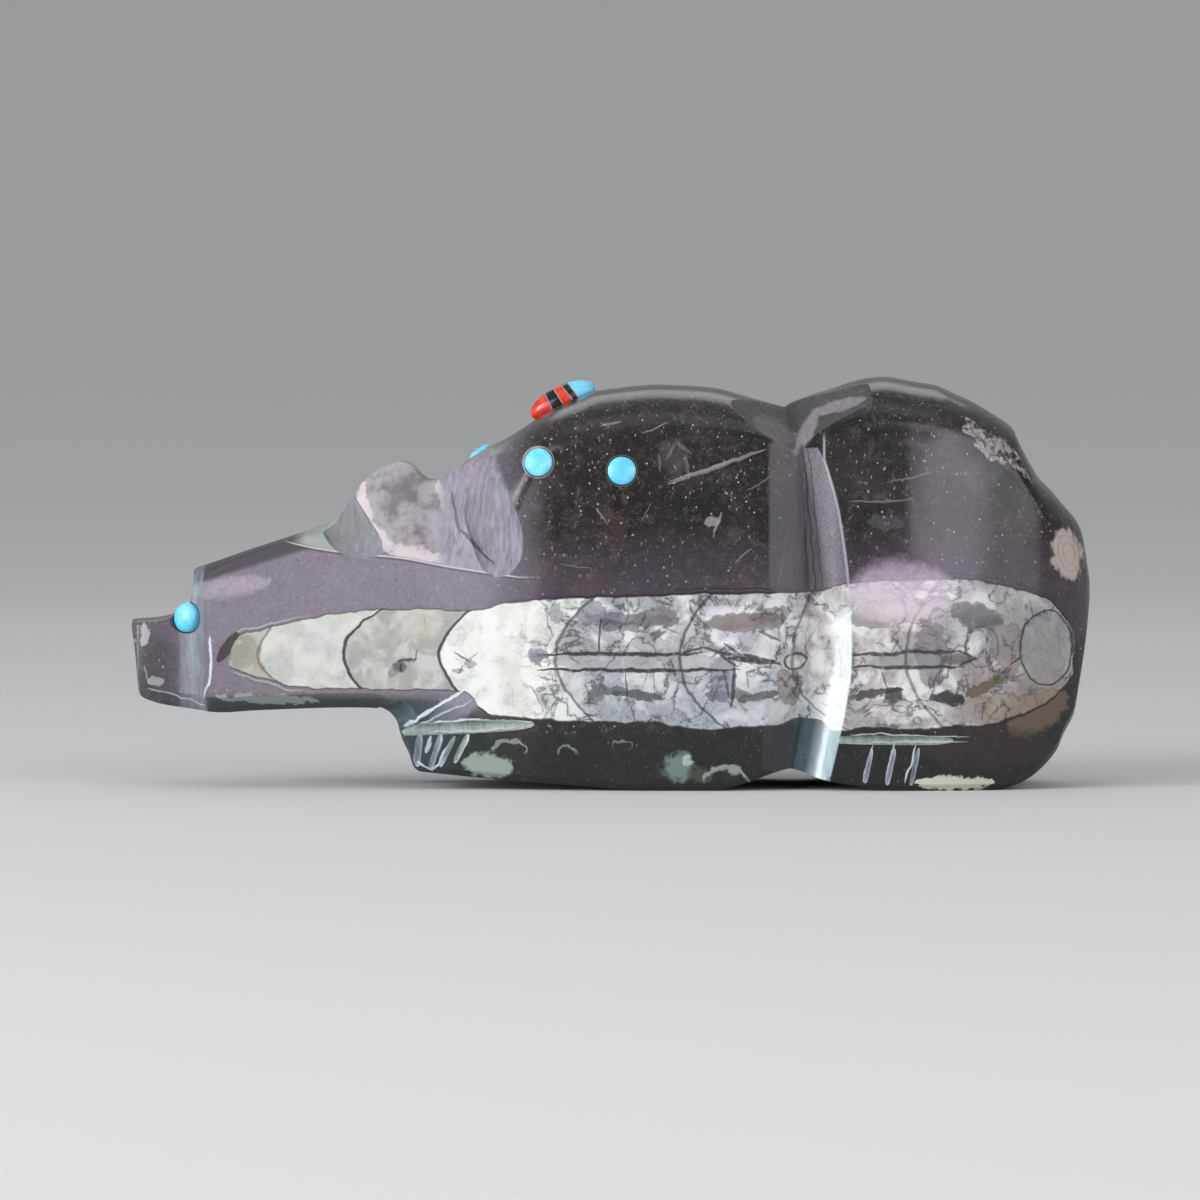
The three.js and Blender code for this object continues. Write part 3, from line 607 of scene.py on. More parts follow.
def draw_curve(mapping, points):
    """Fills a curve node's mapping with points that run from 0 to 1."""
    curve = mapping.curves[0].points
    while len(curve) < len(points):
        curve.new(0.5, 0.5)
    for point, (x, y) in zip(curve, points):
        point.location = x, y
        point.handle_type = "AUTO_CLAMPED"
    mapping.update()


def ink(red, green, blue):
    """A screen colour of 0 to 255 as the linear colour that a shader takes."""
    parts = [c / 255 for c in (red, green, blue)]
    return (*[c / 12.92 if c < 0.04045 else ((c + 0.055) / 1.055) ** 2.4 for c in parts], 1)


def paint(mask, under, over):
    """Over painted on under where the mask is 1."""
    return mask.node("Mix", {"data_type": "RGBA"}, {0: mask, 6: under, 7: over}, 2)


def attribute(spot, name):
    """A number that the mesh carries on its faces."""
    return spot.node("Attribute", {"attribute_name": name}, {}, 2)


def new_material(name):
    """A material, its shader's sockets, and each point's place on the piece in metres."""
    made = bpy.data.materials.new(name)
    made.use_nodes = True
    tree = made.node_tree
    spot = Value(tree.nodes.new("ShaderNodeTexCoord").outputs["Object"])
    return made, tree.nodes["Principled BSDF"].inputs, spot


def cloud(spot, waves, detail=3, rough=0.5, twist=0):
    """Soft noise of about 0 to 1, with so many waves to the millimetre."""
    return spot.node("TexNoise", {}, {"Vector": spot, "Scale": waves * 1000, "Detail": detail,
                                      "Roughness": rough, "Distortion": twist})


def shifted(spot, place, waves, reach):
    """The place pushed about by noise, so that what is drawn on it has a natural line."""
    for waves, way in ((waves, (reach, 0, 0)), (waves * 1.13, (0, 0, reach))):
        push = cloud(spot, waves) - 0.5
        moved = push.node("VectorMath", {"operation": "SCALE"}, {0: way, "Scale": push})
        place = place.node("VectorMath", {"operation": "ADD"}, {0: place, 1: moved})
    return place


def along_axis(place, axis):
    """How far a place lies along the X, Y or Z axis."""
    way = [float(name == axis) for name in "XYZ"]
    return place.node("VectorMath", {"operation": "DOT_PRODUCT"}, {0: place, 1: way}, 1)


def reach_of(place, middle, radii, turn):
    """The sum of the distances from an oval's two foci, and how large that is on the oval grown k times."""
    long, short = max(radii), min(radii)
    lean = math.radians(turn + 90 * (radii[1] > radii[0]))
    focus = math.sqrt(long ** 2 - short ** 2)
    far = [place.node("VectorMath", {"operation": "DISTANCE"},
                      {0: place, 1: (middle[0] - BODY_LENGTH / 2 + way * focus * math.cos(lean), 0,
                                     middle[1] + way * focus * math.sin(lean))}, 1) for way in (-1, 1)]
    return far[0] + far[1], lambda k: 2 * math.hypot(focus, k * short)


def oval(place, middle, radii, turn=0, soft=0.2, strength=1):
    """As much as the strength within an oval of the side view, in millimetres from the nose and the floor."""
    reach, level = reach_of(place, middle, radii, turn)
    return reach.fade(level(1 + soft), level(1 - soft), strength)


def ring(place, middle, radii, width, turn=0, strength=1):
    """As much as the strength along the edge of an oval, within half the width in shares of its radii."""
    reach, level = reach_of(place, middle, radii, turn)
    half = level(1 + width) - level(1)
    return abs(reach - level(1)).fade(half, 0.3 * half, strength)


def ragged(place, feather, middle, radii, turn=0, strength=1, soft=0.8):
    """An oval with a feathery edge."""
    reach, level = reach_of(place, middle, radii, turn)
    start, span = level(0), level(1) - level(0)
    return reach.maths("MULTIPLY_ADD", feather, span, reach).fade(
        start + (0.95 + soft / 2) * span, start + (0.95 - soft / 2) * span, strength)


def dash(place, start, end, width, strength=1):
    """A thin mark that tapers to both ends."""
    middle = ((start[0] + end[0]) / 2, (start[1] + end[1]) / 2)
    along = (end[0] - start[0], end[1] - start[1])
    turn = math.degrees(math.atan2(along[1], along[0]))
    return oval(place, middle, (math.hypot(*along) / 2, width / 2), turn, 0.35, strength)


def height_line(x, points):
    """A smooth line drawn through (x, height) points in millimetres, as a height for each x."""
    low, span = points[0][0], points[-1][0] - points[0][0]
    top = max(z for _, z in points)
    share = x.node("MapRange", {}, {0: x, 1: low, 2: low + span})
    drawn = share.node("FloatCurve", {"curve": [((px - low) / span, pz / top) for px, pz in points]},
                       {"Value": share})
    return drawn * top


# The long shell's upper and lower edge, as (distance from the nose, height)
SHELL_TOP = [(9.86, 13.2), (10.3, 15.2), (11.15, 16.4), (14.47, 17.15), (18.55, 18.12), (23.48, 18.81),
             (26.7, 19.19), (31.7, 19.19), (35.9, 18.97), (38.9, 19.62), (42.6, 20.15), (48.8, 20.48),
             (55.3, 20.69), (64.1, 20.9), (71.9, 21.01), (76.2, 21.87), (87.4, 22.35), (90.3, 22.3),
             (94.2, 21.44), (97.2, 20.48), (99.3, 19.08), (100.8, 17.15), (101.3, 15.1)]
SHELL_FOOT = [(9.86, 12.86), (12.0, 11.9), (14.8, 11.15), (17.7, 10.51), (21.0, 10.4), (34.4, 10.29),
              (36.0, 9.6), (38.1, 7.76), (42.2, 7.4), (48.2, 6.97), (55.3, 6.97), (57.8, 6.54), (62.5, 6.22),
              (65.7, 6.49), (69.2, 6.75), (71.5, 7.4), (73.5, 7.08), (75.8, 6.11), (79.4, 6.43),
              (82.3, 6.22), (87.4, 6.54), (91.3, 6.65), (94.2, 7.4), (97.2, 8.58), (99.8, 10.4),
              (101.0, 12.11), (101.3, 15.1)]
# Each wall between two chambers: its foremost point, how far it sweeps back at the top and at the foot,
# how dark it is, and the colour of the chamber behind it
WALLS = [
    ((13.08, 14.04), (1.6, 3.1), (1.8, 2.6), 0.55, (184, 186, 180)),
    ((22.3, 14.4), (4.0, 4.5), (1.9, 3.9), 0.95, (158, 157, 151)),
    ((32.7, 14.15), (3.2, 4.8), (5.4, 6.4), 0.95, (218, 220, 214)),
    ((45.13, 13.9), (3.7, 6.2), (4.1, 6.7), 0.7, (170, 170, 174)),
    ((58.42, 13.6), (3.3, 7.0), (4.0, 6.5), 0.75, (192, 190, 193)),
    ((70.43, 13.0), (2.1, 7.6), (3.4, 5.1), 0.6, (174, 168, 165)),
    ((82.54, 14.0), (1.6, 5.3), (3.8, 7.1), 0.6, (172, 168, 168)),
]

# Where the waist's pass leaves its crisp edge on the near flank, as (height, distance from the nose)
RIDGE = []
for level in np.linspace(0.03, 0.8, 9):
    line, out = waist_line(z_at(level))
    buried = out + on_side(0.755, level, -1)[0].y
    reach = WAIST_RADIUS - WAIST_DEPTH + buried
    RIDGE.append((z_at(level), line + math.sqrt(WAIST_RADIUS ** 2 - reach ** 2) + BODY_LENGTH / 2))

# The limestone's finish: black stone full of crushed shell, with one long straight shell of pale calcite
# along the flank. It is ground, polished, and left powdery where the wheel has cut it.
limestone, surface, spot = new_material("fossil_limestone")
place = spot.node("Attribute", {"attribute_name": "place"}, {}, 1)
near = along_axis(place, "Y").fade(0.5, -1.5)

# The near side stands closer to the eye than the outline, so its pattern is read off a little large.
# Lines are drawn on a gently bent copy of the place, and scraps on a more torn one.
NEAR_SCALE, NEAR_DROP = 1.017, 0.34
drawn = place.node("VectorMath", {"operation": "MULTIPLY_ADD"},
                   {0: place, 1: (NEAR_SCALE, 0, NEAR_SCALE), 2: (0, 0, -NEAR_DROP)})
bent = shifted(spot, drawn, 0.5, 0.75)
torn = shifted(spot, drawn, 0.9, 1.5)
x = along_axis(bent, "X") + BODY_LENGTH / 2
z = along_axis(bent, "Z")

shell_top = height_line(x, SHELL_TOP)
shell_foot = height_line(x, SHELL_FOOT)
in_shell = ((shell_top - z).fade(-0.05, 0.12) * (z - shell_foot).fade(-0.05, 0.12)
            * x.fade(9.8, 10.2) * x.fade(101.3, 101.1) * near)

# The dark stone between the shells, clouded with brown and peppered with crushed shell
mottle = cloud(spot, 0.16, 4, 0.6)
stone = paint(mottle.fade(0.35, 0.65), ink(20, 18, 19), ink(38, 33, 34))
brown = cloud(spot, 0.3, 3, 0.5, 0.8)
stone = paint(brown.fade(0.55, 0.75) * 0.5, stone, ink(68, 52, 46))
smoke = cloud(spot, 0.75, 4, 0.6, 0.6)
stone = paint(smoke.fade(0.5, 0.72) * 0.4, stone, ink(86, 78, 82))
pepper = cloud(spot, 4.2, 2, 0.8)
stone = paint(pepper.fade(0.58, 0.7) * smoke.fade(0.3, 0.6) * 0.55, stone, ink(128, 118, 118))
slanted = spot.node("Mapping", {}, {"Vector": spot, "Rotation": (0, 0.6, 0), "Scale": (1, 1, 0.42)})
grit = slanted.node("TexVoronoi", {"feature": "F1"}, {"Vector": slanted, "Scale": 1900})
stone = paint(grit.fade(0.2, 0.07) * mottle.fade(0.4, 0.55) * 0.65, stone, ink(158, 148, 144))
crumbs = spot.node("TexVoronoi", {"feature": "F1"}, {"Vector": spot, "Scale": 900})
stone = paint(crumbs.fade(0.13, 0.06) * 0.8, stone, ink(176, 168, 162))

# The hidden side is plainer: thin pale veins, and the end of a smaller shell
far = along_axis(place, "Y").fade(-0.5, 1.5)
veins = abs(cloud(spot, 0.09, 5, 0.6, 0.4) - 0.5).fade(0.009, 0.002) * mottle.fade(0.4, 0.55)
plain = paint(veins * 0.7, stone, ink(150, 145, 143))
small = paint(smoke.fade(0.35, 0.65), ink(142, 139, 137), ink(200, 198, 193))
small = paint(brown.fade(0.5, 0.7) * 0.6, small, ink(120, 108, 96))
rims = ring(bent, (63, 18.6), (17, 3.5), 0.05, -6, 0.9)
for middle, radii in (((53.5, 19.6), (2.2, 3.2)), ((59.8, 19), (2.7, 3.5)), ((67.2, 18.2), (3, 3.5)),
                      ((74.4, 17.4), (2.3, 2.9))):
    rims = (ring(bent, middle, radii, 0.06, -6, 0.75) * (x - middle[0]).fade(0.3, -0.3)).most(rims)
plain = paint(oval(bent, (63, 18.6), (17, 3.5), -6, 0.03), plain, small)
plain = paint(rims, plain, ink(44, 42, 45))
stone = paint(far, stone, plain)

# Scraps of other shells and veins in the dark stone, on the near side
feather = (cloud(spot, 1.3, 5, 0.7) - 0.5) * 1.9
# Painted sheen: a violet tint painted on the flank just above the shell, where the polish reflects the light
marked = paint((z - 21).fade(8, 0, 0.32) * (z - 14).fade(0, 3), stone, ink(104, 90, 106))
# Painted shade: the lower flank painted darker towards the bottom, against the light that the pale floor
# throws up
marked = paint((z - 6.5).fade(0.5, -1.5, 0.8), marked, ink(23, 28, 26))
for middle, radii, turn, colour, strength in (
        ((0.6, 15.97), (0.5, 1.3), 0, (190, 184, 186), 0.7),
        ((1.82, 11.15), (0.9, 0.5), 0, (168, 176, 176), 0.6),
        ((100.34, 24.98), (1.72, 2.79), 12, (190, 176, 168), 0.9),
        ((87.9, 0.54), (4.29, 0.75), 0, (196, 198, 180), 0.9),
        ((37.84, 2.36), (2.79, 1.29), -8, (152, 166, 154), 0.75),
        ((58.32, 2.25), (1.5, 1.5), 20, (122, 140, 138), 0.7),
        ((59.17, 3), (0.54, 0.43), 0, (176, 190, 186), 0.7),
        ((60.68, 1.39), (1.72, 0.96), 0, (70, 78, 66), 0.6),
        ((97.12, 7.83), (3.86, 1.82), 32, (108, 92, 78), 0.8),
        ((91.33, 4.29), (7.5, 2.36), 0, (50, 42, 38), 0.6),
        ((80.51, 28.41), (1.9, 0.8), 0, (92, 88, 96), 0.35),
        ((91.23, 33.77), (2.57, 1.72), 40, (84, 80, 86), 0.3),
        ((57.6, 35.6), (1.6, 1.9), 0, (84, 76, 76), 0.4),
        ((61.96, 28.62), (0.86, 0.54), 0, (150, 142, 142), 0.7)):
    marked = paint(ragged(torn, feather, middle, radii, turn, strength), marked, ink(*colour))
layers = ring(bent, (100.5, 25), (1.15, 2.0), 0.1, 12, 0.5).most(
    ring(bent, (100.6, 25), (0.6, 1.2), 0.2, 12, 0.4))
marked = paint(layers, marked, ink(128, 112, 108))
for middle, radii, width, strength in (
        ((40.2, 3.86), (1.82, 1.18), 0.25, 0.6), ((46.31, 3.75), (0.96, 0.75), 0.3, 0.5),
        ((63.36, 0.75), (2.36, 1.39), 0.3, 0.75), ((52.31, 4.4), (0.96, 0.54), 0.3, 0.4)):
    curl = ring(torn, middle, radii, width) * (z - middle[1]).fade(-0.4, 0.3, strength)
    marked = paint(curl, marked, ink(150, 156, 150))
for start, end, width, strength in (
        ((57.03, 32.48), (67.75, 36.34), 0.42, 0.5), ((57.24, 32.8), (64.96, 35.38), 0.24, 0.5),
        ((62.07, 27.12), (62.82, 29.48), 0.26, 0.6), ((56.82, 35.05), (58.1, 36.98), 0.3, 0.24),
        ((58.1, 37.2), (59.6, 35.7), 0.34, 0.24), ((58.96, 35.7), (59.6, 33.12), 0.3, 0.24),
        ((56.17, 35.7), (56.39, 33.77), 0.26, 0.24), ((54.24, 37.84), (57.24, 39.13), 0.18, 0.5),
        ((49.96, 38.59), (52.31, 39.34), 0.22, 0.5), ((18.33, 20.26), (22.51, 22.83), 0.2, 0.25),
        ((20.8, 21.01), (22.51, 22.83), 0.16, 0.3), ((76.33, 30.55), (83.4, 30.98), 0.22, 0.35),
        ((80.61, 32.7), (85.33, 33.77), 0.2, 0.3), ((65.5, 31.84), (68.72, 33.77), 0.16, 0.35),
        ((54.24, 28.41), (55.53, 30.55), 0.14, 0.35), ((49.42, 30.02), (50.6, 28.41), 0.16, 0.4),
        ((45.67, 24.12), (48.88, 23.48), 0.14, 0.35), ((64.43, 24.12), (66.25, 25.73), 0.16, 0.4)):
    marked = paint(dash(bent, start, end, width, strength), marked, ink(150, 142, 142))
stone = paint(near, stone, marked)

# The chambers of the long shell, from its tip to the rump, filled with cloudy calcite
shell = ink(142, 140, 128)
walls = 0
for (front, middle), (sweep_up, rise), (sweep_down, drop), dark, colour in WALLS:
    up = ((z - middle) * (1 / rise)).most(0)
    down = ((middle - z) * (1 / drop)).most(0)
    beyond = x - (up * up * sweep_up + down * down * sweep_down + front)
    shell = paint(beyond.fade(-0.1, 0.1), shell, ink(*colour))
    walls = (abs(beyond).fade(0.3, 0.08) * dark).most(walls)
milk = cloud(spot, 0.34, 4, 0.58, 0.5)
smooth = x.fade(50, 40) * -0.55 + 1
shell = paint(milk.fade(0.52, 0.36) * smooth * 0.45, shell, ink(132, 133, 138))
shell = paint(milk.fade(0.48, 0.62) * smooth * 0.62, shell, ink(230, 231, 229))
cream = cloud(spot, 0.25, 3)
shell = paint(cream.fade(0.45, 0.65) * x.fade(52, 40) * 0.4, shell, ink(204, 194, 178))
cool = (z - 13.5).fade(0, -3.5) * x.fade(42, 50) * x.fade(80, 70)
shell = paint(cool * 0.4, shell, ink(142, 156, 160))
tan = x.fade(86, 93) * (z - 13).fade(2, -3)
shell = paint(tan * cream.fade(0.35, 0.6) * 0.7, shell, ink(142, 122, 100))
shell = paint(x.fade(88, 96) * 0.5, shell, ink(134, 132, 130))
grains = cloud(spot, 6.5, 2, 0.6)
shell = paint(grains.fade(0.56, 0.72) * 0.14, shell, ink(112, 112, 114))

# Grey and brown stains, and the dark tube that runs through the chambers
stained = 0
for middle, radii, turn, colour, strength in (
        ((53.6, 18.01), (4.93, 0.7), -2, (104, 96, 106), 0.8),
        ((51.67, 17.47), (2.57, 0.54), -6, (84, 80, 88), 0.7),
        ((55.85, 18.22), (2.36, 0.96), 6, (110, 102, 108), 0.7),
        ((65.5, 17.8), (4.5, 1.07), 4, (112, 102, 98), 0.85),
        ((68.18, 18.55), (2.36, 0.75), 10, (96, 88, 86), 0.6),
        ((78.68, 18.01), (2.36, 0.86), 0, (112, 110, 112), 0.75),
        ((90.16, 18.55), (3.22, 1.18), -14, (84, 84, 88), 0.85),
        ((92.62, 16.62), (0.96, 1.72), 14, (92, 90, 90), 0.7),
        ((86.4, 19.83), (1.29, 0.86), 0, (120, 116, 122), 0.6),
        ((50.6, 10.4), (2.14, 0.54), 8, (78, 84, 86), 0.85),
        ((53.81, 9.97), (2.79, 0.48), -6, (66, 74, 74), 0.9),
        ((49.31, 9.43), (1.07, 0.43), 30, (90, 96, 98), 0.7),
        ((63.57, 9.97), (2.57, 0.54), 2, (84, 90, 90), 0.8),
        ((66.89, 9.86), (2.14, 0.48), 8, (70, 74, 72), 0.85),
        ((63.03, 11.9), (1.29, 2.57), -8, (112, 116, 128), 0.7),
        ((79.33, 10.18), (3, 0.48), 8, (56, 56, 50), 0.9),
        ((81.36, 9.97), (0.96, 0.86), 30, (46, 46, 42), 0.9),
        ((87.05, 9.65), (1.82, 0.75), -4, (32, 32, 32), 0.95),
        ((91.23, 10.83), (2.36, 0.7), 26, (98, 84, 58), 0.9),
        ((93.8, 12.54), (0.64, 1.61), -20, (110, 90, 62), 0.7),
        ((28.3, 12.97), (0.75, 0.64), 0, (84, 84, 88), 0.9),
        ((27.66, 12.33), (0.54, 0.54), 0, (120, 122, 126), 0.7),
        ((34.63, 12.54), (0.6, 0.4), 0, (120, 120, 124), 0.55),
        ((36.02, 13.4), (0.7, 0.4), -20, (126, 126, 128), 0.55),
        ((43.31, 13.94), (1.07, 0.96), 0, (104, 106, 114), 0.85),
        ((45.24, 18.76), (0.86, 1.07), 0, (140, 136, 144), 0.7),
        ((48.88, 18.87), (1.5, 1.29), 0, (128, 124, 132), 0.7),
        ((70, 10.83), (1.29, 1.93), 20, (130, 116, 104), 0.6),
        ((55.53, 15.33), (2.14, 0.86), 0, (196, 198, 198), 0.5),
        ((82.12, 18.97), (5.36, 1.29), 0, (186, 172, 182), 0.5),
        ((85.33, 14.47), (1.72, 3.64), 0, (178, 164, 168), 0.4),
        ((93.91, 15.01), (2.14, 2.57), 0, (166, 152, 148), 0.5),
        ((96.05, 8.47), (3.64, 1.72), 20, (140, 124, 104), 0.75),
        ((93.05, 8.68), (1.93, 1.5), 0, (150, 138, 116), 0.6)):
    stain = ragged(torn, feather, middle, radii, turn, strength)
    shell = paint(stain, shell, ink(*colour))
    stained = stain.most(stained)
shell = paint(stained.fade(0.1, 0.3) * stained.fade(0.62, 0.4) * 0.5, shell, ink(70, 68, 72))
shell = paint(oval(bent, (44.06, 13.4), (0.4, 0.4)), shell, ink(240, 242, 242))

tube = ink(150, 152, 154)
shell = paint(oval(bent, (54.24, 13.51), (10.6, 0.8), 0, 0.1) * 0.55, shell, tube)
shell = paint(oval(bent, (83.19, 13.72), (6.2, 0.72), 0, 0.1) * 0.6, shell, ink(132, 134, 134))
shell = paint(oval(bent, (88.23, 13.83), (1.7, 0.66), 0, 0.3) * 0.8, shell, ink(96, 78, 66))
creases = 0
for start, end, width, strength in (
        ((43.63, 14.26), (60.89, 14.36), 0.42, 0.95), ((56.39, 14.15), (61.75, 15.01), 0.28, 0.8),
        ((43.2, 12.65), (64.96, 12.65), 0.4, 0.95), ((44.81, 15.54), (45.24, 10.83), 0.16, 0.5),
        ((60.68, 15.01), (65.5, 13.94), 0.36, 0.8), ((61.53, 13.83), (63.68, 15.54), 0.2, 0.7),
        ((63.03, 15.54), (66.25, 13.19), 0.3, 0.8), ((63.57, 13.94), (69.25, 13.4), 0.66, 0.95),
        ((65.18, 14.26), (69.36, 13.29), 0.5, 0.9), ((62.39, 14.69), (64.75, 12.86), 0.3, 0.8),
        ((64.43, 12.97), (64, 8.58), 0.42, 0.85), ((63.25, 12.54), (63.68, 9.76), 0.3, 0.6),
        ((65.5, 12.54), (65.82, 10.72), 0.2, 0.5), ((50.06, 18.22), (49.74, 13.94), 0.24, 0.85),
        ((50.06, 17.15), (51.24, 18.22), 0.2, 0.6), ((52.64, 12.54), (52.74, 9.11), 0.2, 0.7),
        ((55.64, 12.76), (55.85, 9.54), 0.16, 0.5), ((54.24, 10.18), (55.1, 12.65), 0.14, 0.5),
        ((50.38, 12.11), (49.74, 10.18), 0.16, 0.5), ((48.88, 12.54), (51.24, 9.54), 0.14, 0.45),
        ((56.17, 17.47), (58.75, 16.4), 0.2, 0.5), ((66.79, 16.94), (69.36, 15.65), 0.3, 0.7),
        ((69.25, 15.54), (68.61, 13.83), 0.24, 0.6), ((70.86, 12.76), (71.18, 10.4), 0.34, 0.6),
        ((70.22, 10.61), (71.61, 9), 0.26, 0.5), ((71.4, 14.47), (73.75, 17.9), 0.14, 0.4),
        ((76.43, 14.36), (83.4, 14.47), 0.4, 0.9), ((81.79, 14.47), (88.55, 14.69), 0.36, 0.9),
        ((76.43, 12.97), (88.98, 12.97), 0.4, 0.9), ((88.12, 12.97), (90.16, 13.94), 0.26, 0.85),
        ((88.01, 14.69), (90.16, 13.94), 0.26, 0.85), ((78.04, 14.26), (78.26, 12.97), 0.16, 0.5),
        ((81.9, 16.4), (81.15, 14.58), 0.18, 0.5), ((79.97, 12.76), (80.61, 10.61), 0.22, 0.6),
        ((91.23, 14.58), (92.62, 11.04), 0.18, 0.5), ((93.8, 13.19), (95.62, 14.36), 0.28, 0.8),
        ((92.3, 11.36), (93.91, 13.19), 0.2, 0.6), ((91.23, 9.43), (90.8, 7.18), 0.18, 0.6),
        ((92.51, 8.9), (92.19, 7.61), 0.16, 0.5), ((78.9, 9.11), (82.65, 8.68), 0.16, 0.5),
        ((27.98, 13.4), (30.23, 13.83), 0.26, 0.85), ((28.41, 13.29), (28.62, 12.11), 0.26, 0.8),
        ((29.8, 13.4), (30.34, 14.79), 0.18, 0.7), ((34.2, 14.47), (36.02, 13.51), 0.18, 0.75),
        ((35.16, 13.19), (34.73, 12.11), 0.2, 0.6), ((35.8, 13.83), (36.88, 14.47), 0.14, 0.5),
        ((30.98, 18.55), (31.41, 17.04), 0.12, 0.3), ((73.54, 9.11), (76.76, 7.83), 0.16, 0.4),
        ((59.6, 9.11), (60.68, 7.83), 0.14, 0.4)):
    creases = dash(bent, start, end, width, strength).most(creases)
for middle, radii, width, strength in (
        ((70.86, 13.61), (1.2, 0.85), 0.26, 0.9), ((97.98, 14.9), (3.0, 4.0), 0.07, 0.85),
        ((90.8, 15.12), (1.8, 2.2), 0.11, 0.5), ((76.76, 13.72), (1.2, 0.9), 0.2, 0.5)):
    creases = ring(bent, middle, radii, width, 0, strength).most(creases)
fade_out = cloud(spot, 1.6, 2).fade(0.28, 0.5)
webs = abs(cloud(spot, 0.24, 5, 0.58, 0.5) - 0.5)
patches = cream.fade(0.62, 0.48) * x.fade(38, 46)
shell = paint(webs.fade(0.06, 0) * patches * 0.55, shell, ink(112, 112, 118))
branches = abs(cloud(spot, 0.8, 4, 0.6, 0.5) - 0.48).fade(0.03, 0.006) * milk.fade(0.5, 0.4) * smooth
shell = paint((webs.fade(0.02, 0.005) * patches * 0.7).most(branches * 0.45), shell, ink(60, 60, 66))
shell = paint((creases * (fade_out * 0.3 + 0.7)).most(walls), shell, ink(40, 38, 41))
shell = paint(oval(bent, (97.98, 14.9), (2.75, 3.7), 0, 0.05, 0.6), shell, ink(150, 148, 150))

edge = (abs(shell_top - z).fade(0.22, 0.07)).most(abs(z - shell_foot).fade(0.24, 0.08))
outline = edge * near * x.fade(9.6, 10.4) * x.fade(101.6, 101.2)
second = abs(shell_top - z + 0.5).fade(0.13, 0.04) * near * x.fade(56, 60) * x.fade(100, 96) * 0.7
rims = (outline * 0.9).most(second)
pattern = paint(rims, stone, ink(34, 31, 33))
shell = paint(rims, shell, ink(34, 31, 33))
# A noise that mottles the painted sheens and the painted glint below, and the scuffs and tool marks
wear_and_sheen_mottle = cloud(spot, 2.4, 3, 0.7)
rind = abs(shell_top - z + 0.28).fade(0.14, 0.05).most(abs(z - shell_foot + 0.3).fade(0.14, 0.05))
pattern = paint(rind * near * x.fade(10, 11) * x.fade(20, 15) * 0.7, pattern, ink(190, 188, 184))
# Painted reflection: a pinkish painted sheen over the shell's end on the rump, and a faint violet painted
# sheen rising above it, on the stone and the calcite alike
pink_sheen = ragged(torn, feather * 0.5, (82.33, 21.0), (5.8, 3.2), 0, 0.62, 1.7) * (wear_and_sheen_mottle * 0.6 + 0.7)
pink_sheen = (pink_sheen * near).most(oval(torn, (87.4, 28.5), (3.4, 9.5), 0, 0.7, 0.13) * near)
pattern = paint(pink_sheen, pattern, ink(190, 174, 192))
shell = paint(pink_sheen * 0.72, shell, ink(232, 216, 228))

# The head: a lilac-grey painted sheen, a dark painted shade along its top, a painted glint, the shell's dark
# tip, a painted reflection and painted shade low under the jaw, and the paler foreleg
height = along_axis(place, "Z")
along = along_axis(place, "X") + BODY_LENGTH / 2
# Painted sheen: the head's flank painted lilac-grey as a reflection of the light, mottled by noise
head_sheen = (along.fade(44, 36) * (along.fade(3, 9) * 0.8 + 0.35) * (wear_and_sheen_mottle * 0.5 + 0.25)
        * (height - 9).fade(-2, 1, 0.9))
pattern = paint(head_sheen, pattern, ink(148, 140, 152))
# Painted shade: a dark strip painted along the head's top, where its rounded top turns away from the light
crown = (height - along * 0.3155 - 19.4).fade(-0.3, 0.4) * along.fade(6.4, 7) * along.fade(23, 20)
pattern = paint(crown * 0.85, pattern, ink(46, 42, 44))
# A painted glint: a pale oval painted on the head's flank, under its dark top
gleam = oval(torn, (9.9, 21.4), (4.6, 0.8), 9, 0.8)
pattern = paint(gleam * near * (wear_and_sheen_mottle * 0.8 + 0.05), pattern, ink(176, 164, 174))
tip = oval(bent, (9.75, 14.9), (1.9, 0.6), 56, 0.15, 0.95)
pattern = paint(tip * near, pattern, ink(52, 45, 40))
# A painted reflection: a pale greenish strip painted along the lower edge of the head's front
chin_reflection = ragged(torn, feather * 0.4, (14.0, 9.3), (5.6, 0.5), -2)
pattern = paint(chin_reflection * near * 0.6, pattern, ink(140, 154, 152))
shade = (height - 10.4).fade(0, -1.2) * along.fade(7, 9) * along.fade(36, 30)
pattern = paint(shade * (1 - chin_reflection) * 0.85, pattern, ink(36, 47, 53))

leg = oval(bent, (34.4, 8.4), (3.6, 1.1), 31, 0.4) * near
pattern = paint(leg * (wear_and_sheen_mottle * 0.5 + 0.3), pattern, ink(136, 142, 158))
# Painted shade: dark teal painted low under the jaw
under_jaw_shade = (height - 9.2).fade(0.4, -0.8) * along.fade(26.5, 28) * along.fade(36, 32) * near
pattern = paint(under_jaw_shade * 0.55, pattern, ink(44, 60, 66))

# The ears: greyer mottled stone with pale painted highlights along their edges, above the crisp line where
# the flank ends
EAR_FOOT = [(16, 26.5), (16.94, 26.16), (20.48, 25.41), (24.87, 24.87), (28.52, 24.55), (34.09, 23.58),
            (41.38, 22.51)]
ear_foot = height_line(along, EAR_FOOT)
shoulder = along + (height - 31).most(0) * 0.35
on_ear = (height - ear_foot).fade(0, 0.25) * along.fade(17, 19) * shoulder.fade(40.6, 39.6)
blotch = cloud(spot, 0.42, 5, 0.62)
ear_stone = paint(blotch.fade(0.36, 0.6), ink(106, 102, 104), ink(158, 152, 155))
